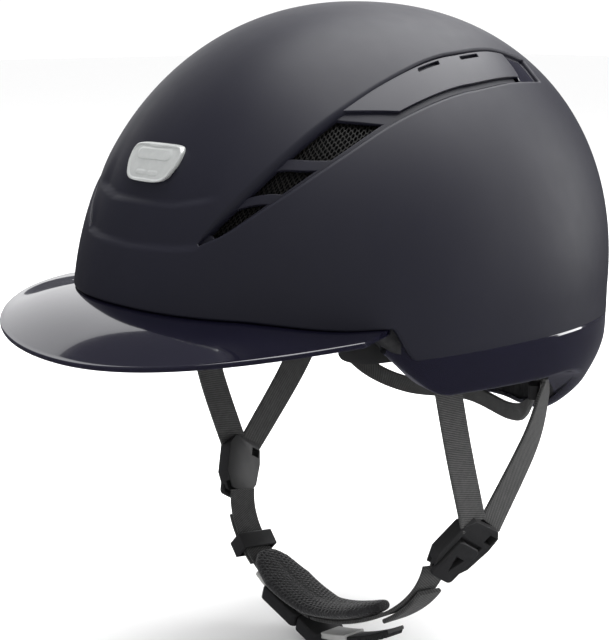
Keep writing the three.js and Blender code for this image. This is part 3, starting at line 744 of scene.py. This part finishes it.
def make_vent_mesh(name):
    """A honeycomb grille: each cell is a ring of web with walls, and neighbours share their corners."""
    share = np.linspace(HONEYCOMB["start"], HONEYCOMB["end"], HONEYCOMB_SAMPLES)
    middle = channel_flat(share, np.full(HONEYCOMB_SAMPLES, 0.5))
    line = shell_point(middle[:, 0], middle[:, 1])
    run = distance_along(line)
    width = channel_width(share)
    top_inset = FRAME_DEPTH + FRAME_THICKNESS + GAP
    low_inset = top_inset + HONEYCOMB["depth"]
    turns = np.radians(np.arange(6) * 60 + 30)
    hexagon = np.stack([np.cos(turns), np.sin(turns)], -1)
    cell_radius = HONEYCOMB["pitch"] / math.sqrt(3)
    hole_radius = cell_radius - HONEYCOMB["web"] / math.sqrt(3)
    points, faces = [], []

    def place(spot, inset):
        along = np.interp(spot[:, 0], run, share)
        across = np.clip(0.5 + spot[:, 1] / np.interp(along, share, width), 0, 1)
        flat = channel_flat(along, across)
        return shell_point(flat[:, 0], flat[:, 1], inset)

    row_gap = HONEYCOMB["pitch"] * math.sqrt(3) / 2
    for row in range(-HONEYCOMB["half_rows"], HONEYCOMB["half_rows"] + 1):
        for column in range(int(run[-1] / HONEYCOMB["pitch"])):
            centre = np.array([(column + 0.5 * (row % 2) + 0.5) * HONEYCOMB["pitch"], row * row_gap])
            room = 0.46 * np.interp(centre[0], run, width) - cell_radius
            if abs(centre[1]) > room:
                continue
            first = len(points) * 6
            outer, hole = centre + cell_radius * hexagon, centre + hole_radius * hexagon
            points += [place(outer, top_inset), place(hole, top_inset)]
            points += [place(hole, low_inset), place(outer, low_inset)]
            for ring in range(3):
                for k in range(6):
                    a, b = first + 6 * ring + k, first + 6 * ring + (k + 1) % 6
                    faces.append((a, b, b + 6, a + 6))
    piece = make_piece(name, np.concatenate(points), faces, GRILLE)
    with reworking(piece.data) as work:
        bmesh.ops.remove_doubles(work, verts=work.verts, dist=0.02 * MM)
    piece.data.set_sharp_from_angle(angle=math.radians(30))
    return piece


# ---------- peak ----------


def peak_edge(sweep_share):
    turn = np.radians(sweep_share * PEAK_SWEEP)
    x = PEAK["half_width"] * signed_power(np.sin(turn), 2 / PEAK["power"])
    y = PEAK["root"] - PEAK["reach"] * np.cos(turn) ** (2 / PEAK["power"])
    return np.stack([x, y, PEAK["tip_height"] + PEAK["side_rise"] * (x / 100) ** 2], -1)


def make_peak():
    """A thin convex shell from under the painted edge to a rounded rim."""
    columns, rows, rim_steps = 241, 40, 8
    share = np.linspace(-1, 1, columns)
    around = share * PEAK_END
    root = shell_point(around, shell_edge(around) - PEAK_SEAM, SHELL_THICKNESS)
    edge = peak_edge(share)
    outwards = unit((edge - root) * [1, 1, 0])
    radius = PEAK_THICKNESS / 2
    reach = np.linspace(0, 1, rows)[None, :, None]
    top = root[:, None] + (edge - outwards * radius - root)[:, None] * reach
    top[..., 2] += PEAK_CAMBER * np.sin(np.pi * reach[..., 0]) * np.cos(np.radians(share * 90))[:, None]
    turn = np.linspace(0, np.pi, rim_steps)[1:-1]
    rim = top[:, -1:, :] + outwards[:, None] * (radius * PEAK_BEAD * np.sin(turn))[None, :, None]
    rim[..., 2] += (radius * np.cos(turn) - radius)[None]
    underside = top[:, ::-1] - [0, 0, PEAK_THICKNESS]
    sections = np.concatenate([top, rim, underside], 1)
    return stand_for(sweep("peak_lacquered", sections, GLOSS, sharp=50), "peak")


# ---------- gloss band ----------


FRONT_BEVEL = 6.5
LIP_RADIUS = {"side": 2.3, "back": 1.9, "front": 2.2}


def make_gloss_band():
    """The band below the shell: its wall, a rounded lower lip, the flange and slanted front ends."""
    around = np.linspace(BAND_START, 360 - BAND_START, 361)
    side = from_front(around)
    top, bottom = shell_edge(around) - GAP, band_edge(around)
    bevel = FRONT_BEVEL * (1 - ease(66, 73.5, side)) ** 1.3
    back = ease(110, 150, side)
    radius = LIP_RADIUS["side"] + LIP_RADIUS["back"] * back + LIP_RADIUS["front"] * (1 - ease(68, 80, side))
    radius = np.minimum(radius, 0.42 * (top - bottom))
    wall = mix(BAND_FLANGE, BAND_THICKNESS + 1.8 * back, ease(70.5, 73, side))
    levels = [(bevel + 1.2, top), (bevel + 0.25, top), (bevel, top - 0.35)]
    for step in np.linspace(0.08, 1, 14):
        levels.append((bevel, mix(top - 0.35, bottom + radius, step)))
    for turn in np.radians(np.arange(12, 91, 12)):
        levels.append((bevel + radius * (1 - np.cos(turn)), bottom + radius * (1 - np.sin(turn))))
    curl = radius * 0.8
    for turn in np.radians(np.arange(12, 91, 13)):
        levels.append((bevel + radius + curl * np.sin(turn), bottom + curl * (1 - np.cos(turn)) * back))
    flange_low = bottom + 0.8 * radius * back
    flange_end = np.maximum(bevel + 2 * radius, BAND_FLANGE)
    inside = np.maximum(wall, bevel + 1.6)
    levels += [
        (np.maximum(bevel + 2 * radius, BAND_FLANGE - 0.6), flange_low + 0.2),
        (flange_end, flange_low + 0.9),
        (flange_end, flange_low + 2.4),
        (np.maximum(wall + 0.5, bevel + 2), flange_low + 2.6),
        (inside, np.minimum(flange_low + 3.4, top - 0.4)),
        (inside, top - 0.1),
    ]
    sections = np.stack([shell_point(around, height, inset) for inset, height in levels], 1)
    return stand_for(sweep("gloss_band_lacquered", sections, GLOSS, sharp=50), "gloss_band")


# ---------- badge ----------

BADGE_CORNERS = [(-12.6, 58.8), (12.6, 58.8), (17.0, 66.5), (17.2, 71.5), (15.0, 74.6), (-15.0, 74.6),
                 (-17.2, 71.5), (-17.0, 66.5)]
BADGE_CENTRE = (0.0, 67.2)
BADGE_THICKNESS = 1.1
BADGE_RIM = 0.45
# The raised marks, in place of lettering: middle, half length, height, where the edge falls, and lift.
BADGE_MARKS = [
    (0, 9.5, 70.2, (1.9, 2.5), 0.4),
    (-4.2, 2.4, 62.6, (0.6, 1.1), 0.3),
    (4.2, 2.4, 62.6, (0.6, 1.1), 0.3),
]


def around_at(x, height):
    """The angle at which the shell lies x from the centre plane at this height, on the front."""
    reach = shell_point(90.0, height)[..., 0] * (1 - FRONT_NARROWING)
    return np.degrees(np.arcsin(np.abs(x / reach) ** (PLAN_POWER / 2))) * np.sign(x)


def make_badge():
    """A plain plate with a raised rim, a raised pill above and two short bars below."""
    outline = smooth_outline(BADGE_CORNERS)
    centre = np.array(BADGE_CENTRE)
    shares = np.concatenate([np.linspace(0.02, 0.8, 30), np.linspace(0.82, 1, 14)])
    flat = centre + (outline - centre)[:, None] * shares[None, :, None]
    x, height = flat[..., 0], flat[..., 1]
    rim_gap = (1 - shares)[None] * np.linalg.norm(outline - centre, axis=1)[:, None]
    edge = np.minimum(rim_gap / 0.5, 1)
    lift = BADGE_THICKNESS * np.sqrt(np.maximum(1 - (1 - edge) ** 2, 0)) + 0.15
    lift += BADGE_RIM * (1 - ease(1.1, 1.7, rim_gap))
    for mark_x, half_length, mark_height, fall, raised in BADGE_MARKS:
        distance = np.hypot(np.maximum(np.abs(x - mark_x) - half_length, 0), height - mark_height)
        lift += raised * (1 - ease(*fall, distance))
    grid = shell_point(around_at(x, height), height, -lift)
    base = shell_point(around_at(x[:, -1], height[:, -1]), height[:, -1], 0.4)
    columns, rows = grid.shape[:2]
    points = np.concatenate([grid.reshape(-1, 3), base])
    faces = grid_quads(columns, rows, ring=True).tolist()
    rim = np.arange(columns) * rows + rows - 1
    foot = columns * rows + np.arange(columns)
    faces += np.stack([rim, foot, np.roll(foot, -1), np.roll(rim, -1)], -1).tolist()
    faces.append((np.arange(columns) * rows).tolist()[::-1])
    faces.append(foot.tolist())
    plate = make_piece("badge_plate", points, faces, SILVER, sharp=60)
    return stand_for(face_outwards(plate), "badge")


# ---------- liner and comfort pads ----------


POCKET_DEPTH = 8
POCKET_MARGIN = 2.5
GROOVE = {"depth": 1.6, "spacing": 60, "width": 5.0}


def liner_edge(around):
    return band_edge(around) + 3


def pocket_depth(around, height):
    """How far the liner is cut away behind the air channels."""
    outline_flat, _, _ = channel_outline(60)
    outline = shell_point(outline_flat[:, 0], outline_flat[:, 1])
    side = from_front(around)
    flat = np.stack(np.broadcast_arrays(side, height), -1)
    _, gap, _ = nearest_on_outline(shell_point(side, height), outline)
    behind = inside_outline(flat, outline_flat) | (gap < POCKET_MARGIN)
    return np.where(behind, POCKET_DEPTH, 0)


def make_liner():
    """The foam liner: outside against the shell, inside round the head, with moulded air grooves."""
    around = np.arange(300) * 1.2
    share = np.linspace(0.004, 0.996, 80)
    rise = np.sin(share * np.pi / 2) ** (2 / SIDE_POWER)
    sections = []
    for turn in around:
        edge = liner_edge(turn)
        inner_height = mix(edge + 1.5, CAVITY["crown"], rise)
        off_groove = (turn + GROOVE["spacing"] / 2) % GROOVE["spacing"] - GROOVE["spacing"] / 2
        groove = GROOVE["depth"] * np.exp(-(off_groove / GROOVE["width"]) ** 2) * ease(34, 44, inner_height)
        inner = dome_point(CAVITY, turn, inner_height, -groove * (1 - ease(80, 100, inner_height)))
        top = SHELL["crown"] - LINER_OFFSET
        outer_height = mix(edge + 1.5, top, rise)
        outer = shell_point(turn, outer_height, LINER_OFFSET + pocket_depth(turn, outer_height))
        rim_out = shell_point(turn, edge, LINER_OFFSET + 2.5)
        rim_in = dome_point(CAVITY, turn, edge, -2.5)
        sections.append(np.concatenate([outer[::-1], [rim_out], [rim_in], inner]))
    piece = sweep("liner_foam_body", np.array(sections), FOAM, ring=True, sharp=60)
    return stand_for(piece, "impact_liner")


PAD = {"middle": 3.2, "crown": 3.9, "back": 1.5, "seam_depth": 0.42, "seam_width": 0.075}


def pad_piece(name, node, spot, columns, rows, ring=False, sewn=0):
    """A soft pad: flat against the liner, crowned towards the head, drawn in at its edge and at sewn lines.
    spot(u, v, inset) gives its places."""
    u = np.linspace(0, 1, columns, endpoint=not ring)
    u, v = np.meshgrid(u, np.linspace(0, 1, rows), indexing="ij")
    plump_u = 1 if ring else (1 - np.abs(2 * u - 1) ** 5) ** 0.5
    plump = plump_u * (1 - np.abs(2 * v - 1) ** 4) ** 0.5
    off_seam = u * sewn % 1 - 0.5
    seams = 1 if not sewn else 1 - PAD["seam_depth"] * np.exp(-(off_seam / PAD["seam_width"]) ** 2)
    front = spot(u, v, PAD["middle"] + PAD["crown"] * plump * seams)
    back = spot(u, v, PAD["middle"] - PAD["back"] * plump)
    piece = sweep(name, np.concatenate([front, back[:, ::-1]], 1), KNIT, ring=ring, sharp=None)
    return stand_for(piece, node)


def cavity_patch(start, end, low, high):
    return lambda u, v, inset: dome_point(CAVITY, mix(start, end, u), mix(low, high, v), inset)


def crown_patch(u, v, inset):
    top = CAVITY["crown"] - inset
    return dome_point(CAVITY, 360 * u, mix(86, top, np.sin(mix(0, 0.96, v) * np.pi / 2)), inset)


def make_pads():
    pad_piece("brow_pad_knit", "front_pad", cavity_patch(-58, 58, 0, 26), 90, 18, sewn=5)
    pad_piece("side_pad_knit_left", "side_pad_left", cavity_patch(66, 118, 0, 34), 50, 20, sewn=2)
    pad_piece("side_pad_knit_right", "side_pad_right", cavity_patch(242, 294, 0, 34), 50, 20, sewn=2)
    pad_piece("rear_pad_knit", "rear_pad", cavity_patch(142, 218, 2, 34), 70, 20, sewn=3)
    pad_piece("crown_pad_knit", "crown_pad", crown_patch, 96, 18, ring=True)

    def cradle(u, v, inset):
        around = mix(148, 212, u)
        low = -60 + 0.012 * (around - 180) ** 2
        return dome_point(CAVITY, around, mix(low, -18, v), 19.5 + 0.75 * inset)

    pad_piece("nape_cradle_knit", "nape_cradle", cradle, 60, 24, sewn=3)


# ---------- webbing ----------


def smooth_line(knots, count):
    return knot_curve(knots, np.linspace(0, 1, count))


def rounded_section(width, thickness, corner=None, per_corner=4):
    """A closed rounded rectangle of (across, out) pairs with enough points along its faces."""
    corner = thickness * 0.48 if corner is None else corner
    x, y = width / 2 - corner, thickness / 2 - corner
    across = []
    for cx, cy, start in ((x, y, 0), (-x, y, 90), (-x, -y, 180), (x, -y, 270)):
        for turn in np.radians(np.linspace(start, start + 90, per_corner)):
            across.append((cx + corner * math.cos(turn), cy + corner * math.sin(turn)))
        if start in (0, 180):
            run = np.linspace(cx, -cx, 12)[1:-1]
            across += [(value, cy + math.copysign(corner, cy)) for value in run]
    return np.array(across)


def strap_frame(line, facing):
    """The directions along, across and out of a strap's face, at each point of its line."""
    along = unit(np.gradient(line, axis=0))
    out = unit(facing - (facing * along).sum(-1, keepdims=True) * along)
    return along, np.cross(along, out), out


def strap(name, line, facing, width=STRAP_WIDTH, thickness=STRAP_THICKNESS):
    """A flat strap along a line of points, with its own length and width as coordinates for the weave."""
    _, across, out = strap_frame(line, facing)
    section = rounded_section(width, thickness)
    selvedge = 1 + 0.16 * ease(0.86, 0.96, np.abs(section[:, 0]) / (width / 2))
    sections = (
        line[:, None]
        + across[:, None] * section[None, :, 0:1]
        + out[:, None] * (section[:, 1] * selvedge)[None, :, None]
    )
    run = distance_along(line)
    uv = np.stack(np.broadcast_arrays(run[:, None], section[None, :, 0]), -1)
    return sweep(name, sections, TWILL, uv=uv, sharp=50)


def turning(start, end, count):
    return mix(np.array(start, float), np.array(end, float), np.linspace(0, 1, count)[:, None])


FRONT_LINE = [(88.5, -14, -29), (88.5, -6, -60), (86.8, 6.4, -96.5)]
REAR_LINE = [(83.6, 57, -38), (84.2, 55, -46), (86, 44, -66), (86.7, 17.5, -99)]
NAPE_LINE = [(73, 66, -43), (57, 76, -60), (36, 87, -68), (0, 94, -66), (-36, 87, -68), (-57, 76, -60),
             (-73, 66, -43)]


def make_side_straps():
    make_both(lambda name: strap(name, smooth_line(FRONT_LINE, 60), turning((1, 0, 0), (1, 0, 0), 60)),
              "front_strap", "front_webbing")
    make_both(lambda name: strap(name, smooth_line(REAR_LINE, 60), turning((0.8, 0.6, 0), (1, 0, 0), 60)),
              "rear_strap", "rear_webbing")
    turn = np.linspace(0, np.pi, 120)
    facing = np.stack([np.cos(turn), np.sin(turn), 0 * turn], -1)
    stand_for(strap("nape_webbing", smooth_line(NAPE_LINE, 120), facing, 9, 2), "nape_strap")


def chin_line(t, drop=0.0):
    """The chin strap's hanging loop; t runs from -1 at the wearer's right to 1 at the left."""
    turn = t * np.pi / 2
    x = (70.6 + drop) * signed_power(np.sin(turn), 1.3)
    fall = 1 - np.cos(turn)
    return np.stack([x, -8 + 7.5 * fall, -162.4 - drop + (46.5 + drop) * fall], -1)


def chin_facing(t):
    turn = t * np.pi / 2
    return np.stack([1.2 * np.sin(turn), 0 * turn, -np.cos(turn)], -1)


def make_chin_straps():
    for name, node, start, end, drop, thickness in (
        ("chin_webbing_right", "chin_strap_right", -0.985, -0.02, 0, STRAP_THICKNESS),
        ("chin_webbing_left", "chin_strap_left", 0.02, 0.96, 0, STRAP_THICKNESS),
        ("tail_webbing_right", "strap_tail_right", -0.82, -0.52, 2.4, STRAP_THICKNESS),
        ("tail_webbing_left", "strap_tail_left", 0.52, 0.8, 3.2, 2.2),
    ):
        t = np.linspace(start, end, 90)
        stand_for(strap(name, chin_line(t, drop), chin_facing(t), thickness=thickness), node)


CHIN_PAD = {"half_width": 13, "half_depth": 3.3, "cell": 2.5, "dent": 0.55}


def make_chin_pad():
    """The chin pad: two joined lobes of open spacer mesh, whose small round cells are pressed in."""
    columns, ring_steps = 300, 96
    share = np.linspace(0, 1, columns)
    t = mix(-0.54, 0.5, share)
    line = chin_line(t, -4.6)
    _, across, out = strap_frame(line, chin_facing(t))
    run = distance_along(line)
    lobes = np.interp(share, [0, 0.06, 0.2, 0.42, 0.6, 0.85, 1], [0.5, 0.82, 1.06, 0.98, 0.86, 0.8, 0.42])
    ends = (1 - np.abs(2 * share - 1) ** 12) ** 0.5
    turn = np.linspace(0, 2 * np.pi, ring_steps, endpoint=False)
    round_side, round_out = signed_power(np.cos(turn), 0.72)[None], signed_power(np.sin(turn), 0.8)[None]
    side = CHIN_PAD["half_width"] * lobes[:, None] * round_side * mix(0.75, 1, ends)[:, None]
    plump = CHIN_PAD["half_depth"] * round_out * mix(0.55, 1, ends)[:, None]
    a, b = run[:, None] * 2 * np.pi / CHIN_PAD["cell"], side * 2 * np.pi / (CHIN_PAD["cell"] * 0.8)
    cell = (np.cos(a) * np.cos(b / 2) + np.cos(b) * 0.5) / 1.5
    dent = CHIN_PAD["dent"] * ease(-0.1, 0.75, cell) * np.abs(np.sin(turn))[None] ** 0.5
    plump = plump - np.sign(np.sin(turn))[None] * dent
    sections = line[:, None] + across[:, None] * side[..., None] + out[:, None] * plump[..., None]
    uv = np.stack(np.broadcast_arrays(run[:, None], side), -1)
    piece = sweep("chin_pad_mesh", sections, KNIT, uv=uv, sharp=None)
    return stand_for(piece, "chin_pad")


# ---------- moulded fittings ----------

TOOTH = {"count": 8, "height": 1.5}
RING_INSET = 9
RING_THICKNESS = 1.6
# Fittings that are moulded copies of their CAD nodes: node, edge radius and bevel segments.
PAIRED_FITTINGS = [("divider", 0.7, 3), ("cam_lever", 0.35, 3), ("front_anchor", 0.4, 3),
                   ("rear_anchor", 0.4, 3), ("rack", 0.12, 2)]
SINGLE_FITTINGS = [("buckle_receiver", 0.35, 3), ("buckle_tongue", 0.35, 3), ("dial_housing", 1.0, 3),
                   ("dial_wheel", 0.25, 3), ("dial_pinion", 0.12, 2)]


def soften(node, name, material, width, segments=3):
    """A moulded copy of a CAD node with its edges rounded."""
    mesh = frame["nodes"][node].data.copy()
    with reworking(mesh) as work:
        bmesh.ops.remove_doubles(work, verts=work.verts, dist=0.01 * MM)
        bmesh.ops.dissolve_limit(work, angle_limit=math.radians(2), verts=work.verts, edges=work.edges)
        bmesh.ops.recalc_face_normals(work, faces=work.faces)
    mesh.materials.clear()
    mesh.materials.append(material)
    piece = link_object(name, mesh)
    bevel = piece.modifiers.new("edges", "BEVEL")
    bevel.width = width * MM
    bevel.segments = segments
    bevel.limit_method = "ANGLE"
    bevel.angle_limit = math.radians(28)
    bevel.use_clamp_overlap = True
    shaped = piece.evaluated_get(bpy.context.evaluated_depsgraph_get())
    piece.data = bpy.data.meshes.new_from_object(shaped)
    piece.modifiers.clear()
    piece.data.polygons.foreach_set("use_smooth", [True] * len(piece.data.polygons))
    piece.data.set_sharp_from_angle(angle=math.radians(32))
    return stand_for(piece, node)


def make_ring_band(name):
    """One half of the fit ring: a thin band that narrows to a round tip in front."""
    around = np.linspace(58, 150, 120)
    half = mix(2.5, 8, (1 - (1 - np.clip((around - 58) / 14, 0, 1)) ** 2) ** 0.5)
    middle_height = -12 - 24 * ease(75, 150, around)
    section = rounded_section(2, RING_THICKNESS, 0.7)
    heights = middle_height[:, None] + half[:, None] * section[None, :, 0]
    insets = RING_INSET + RING_THICKNESS / 2 - section[None, :, 1]
    return sweep(name, dome_point(CAVITY, around[:, None], heights, insets), MOULDED, sharp=40)


def chin_moulding(name, node, span, drop, size, material, tooth=None):
    """A moulded strip that follows the chin strap; its outer face may carry a row of slanted teeth."""
    t = np.linspace(*span, 160)
    line = chin_line(t, drop)
    _, across, out = strap_frame(line, chin_facing(t))
    section = rounded_section(*size, 0.6)
    rise = section[None, :, 1:2] + 0 * line[:, None, 0:1]
    if tooth is not None:
        run = np.linspace(0, tooth["count"], len(t))
        tip = tooth["height"] * np.interp(run % 1, [0, 0.1, 0.4, 0.85, 1], [0, 1, 1, 0, 0])
        rise = rise + (section[:, 1] > 0)[None, :, None] * tip[:, None, None]
    sections = line[:, None] + across[:, None] * section[None, :, 0:1] + out[:, None] * rise
    return stand_for(sweep(name, sections, material, sharp=40), node)


def make_fittings():
    make_both(make_ring_band, "ring_band", "ring_band_moulded")
    for side in ("left", "right"):
        for node, width, segments in PAIRED_FITTINGS:
            soften(f"{node}_{side}", f"{node}_moulded_{side}", MOULDED, width, segments)
    soften("keeper_loop", "keeper_moulded", MOULDED, 1.1, 4)
    for node, width, segments in SINGLE_FITTINGS:
        soften(node, f"{node}_moulded", MOULDED, width, segments)
    chin_moulding("buckle_insert_moulded", "buckle_insert", (0.1, 0.262), 8.2, (13, 3), PALE)
    chin_moulding("release_tab_moulded", "release_tab", (-0.472, -0.372), 5.2, (12, 2.4), PALE)
    chin_moulding("toothed_strip_moulded", "toothed_strip", (0.255, 0.5), 8.7, (11, 1.8), MOULDED, TOOTH)
    soften("buckle_magnet", "buckle_magnet_plated", STEEL, 0.2)


# ---------- stage, light and camera ----------

FLOOR_HEIGHT = cad_low.z - 0.5 * MM


def make_floor():
    look = Recipe("pale_floor", 0.9, Specular_IOR_Level=0.2)
    look.colours(look.grain(60, 3), (0.93, 0.93, 0.93), (0.95, 0.95, 0.95))
    look.bumps((look.grain(2, 2), 0.02))
    size = 9.0 / MM
    corners = np.array([(-size, -size, 0), (size, -size, 0), (size, size, 0), (-size, size, 0)])
    floor = make_piece("floor", corners + [0, 0, FLOOR_HEIGHT / MM], [(0, 1, 2, 3)], look.material)
    floor.visible_glossy = False


def aim(thing, place, back):
    """Puts a lamp or camera at a place, looking against the direction back."""
    thing.location = place
    thing.rotation_mode = "QUATERNION"
    thing.rotation_quaternion = back.to_track_quat("Z", "Y")


def area_light(name, place, size, power, size_y=None):
    """A soft lamp that points at the middle of the helmet."""
    data = bpy.data.lights.new(name, "AREA")
    data.energy = power
    data.shape = "RECTANGLE"
    data.size = size
    data.size_y = size if size_y is None else size_y
    aim(link_object(name, data), place, Vector(place))


def make_light():
    area_light("top_softbox", (0.1, 0.6, 1.5), 2.0, 50)
    area_light("rear_strip", (0.8, 2.1, 0.5), 0.6, 15, 1.5)
    area_light("back_softbox", (-1.35, 0.8, 0.65), 2.0, 6.0, 1.0)
    make_world()


ROOM_BRIGHTNESS = 1.08


def make_world():
    """A white room to the eye and the floor. Glossy surfaces reflect a much darker one, a little lighter
    towards the top."""
    world = bpy.data.worlds.new("studio")
    bpy.context.scene.world = world
    world.use_nodes = True
    tree = world.node_tree
    reflected = tree.nodes["Background"]
    place = tree.nodes.new("ShaderNodeTexCoord")
    parts = tree.nodes.new("ShaderNodeSeparateXYZ")
    tree.links.new(place.outputs["Generated"], parts.inputs["Vector"])
    ramp = tree.nodes.new("ShaderNodeValToRGB")
    tree.links.new(parts.outputs["Z"], ramp.inputs["Fac"])
    stops = ramp.color_ramp.elements
    stops[0].position, stops[0].color = 0.0, (0.09, 0.09, 0.105, 1)
    stops[1].position, stops[1].color = 0.95, (0.16, 0.16, 0.19, 1)
    stops.new(0.3).color = (0.1, 0.1, 0.12, 1)
    tree.links.new(ramp.outputs["Color"], reflected.inputs["Color"])
    room = tree.nodes.new("ShaderNodeBackground")
    room.inputs["Color"].default_value = (1, 1, 1, 1)
    room.inputs["Strength"].default_value = ROOM_BRIGHTNESS
    path = tree.nodes.new("ShaderNodeLightPath")
    chosen = tree.nodes.new("ShaderNodeMixShader")
    tree.links.new(path.outputs["Is Glossy Ray"], chosen.inputs["Fac"])
    tree.links.new(room.outputs["Background"], chosen.inputs[1])
    tree.links.new(reflected.outputs["Background"], chosen.inputs[2])
    tree.links.new(chosen.outputs["Shader"], tree.nodes["World Output"].inputs["Surface"])
    bpy.context.scene.view_settings.view_transform = "Standard"


VIEW_AZIMUTH, VIEW_ELEVATION = math.radians(49.12), math.radians(11.55)
VIEW_DISTANCE = 699.75 * MM
VIEW_TARGET = Vector((-0.32, -18.45, -12.83)) * MM
LENS = 83.69


def make_camera():
    back = Vector((
        math.sin(VIEW_AZIMUTH) * math.cos(VIEW_ELEVATION),
        -math.cos(VIEW_AZIMUTH) * math.cos(VIEW_ELEVATION),
        math.sin(VIEW_ELEVATION),
    ))
    data = bpy.data.cameras.new("studio_camera")
    data.lens = LENS
    data.sensor_width = 36
    data.clip_start, data.clip_end = 0.01, 100
    camera = link_object("studio_camera", data)
    aim(camera, VIEW_TARGET + back * VIEW_DISTANCE, back)
    bpy.context.scene.camera = camera


# ---------- everything together ----------

make_camera()
make_light()
make_floor()
make_outer_shell()
make_both(make_vent_frame, "vent_frame", "vent_frame_lacquered")
make_both(make_vent_mesh, "vent_mesh", "vent_honeycomb")
make_both(make_vent_cover, "vent_cover", "vent_cover_lacquered")
make_both(make_vent_outlet, "vent_outlet", "vent_outlet_lacquered")
make_peak()
make_gloss_band()
make_badge()
make_liner()
make_pads()
make_side_straps()
make_chin_straps()
make_chin_pad()
make_fittings()
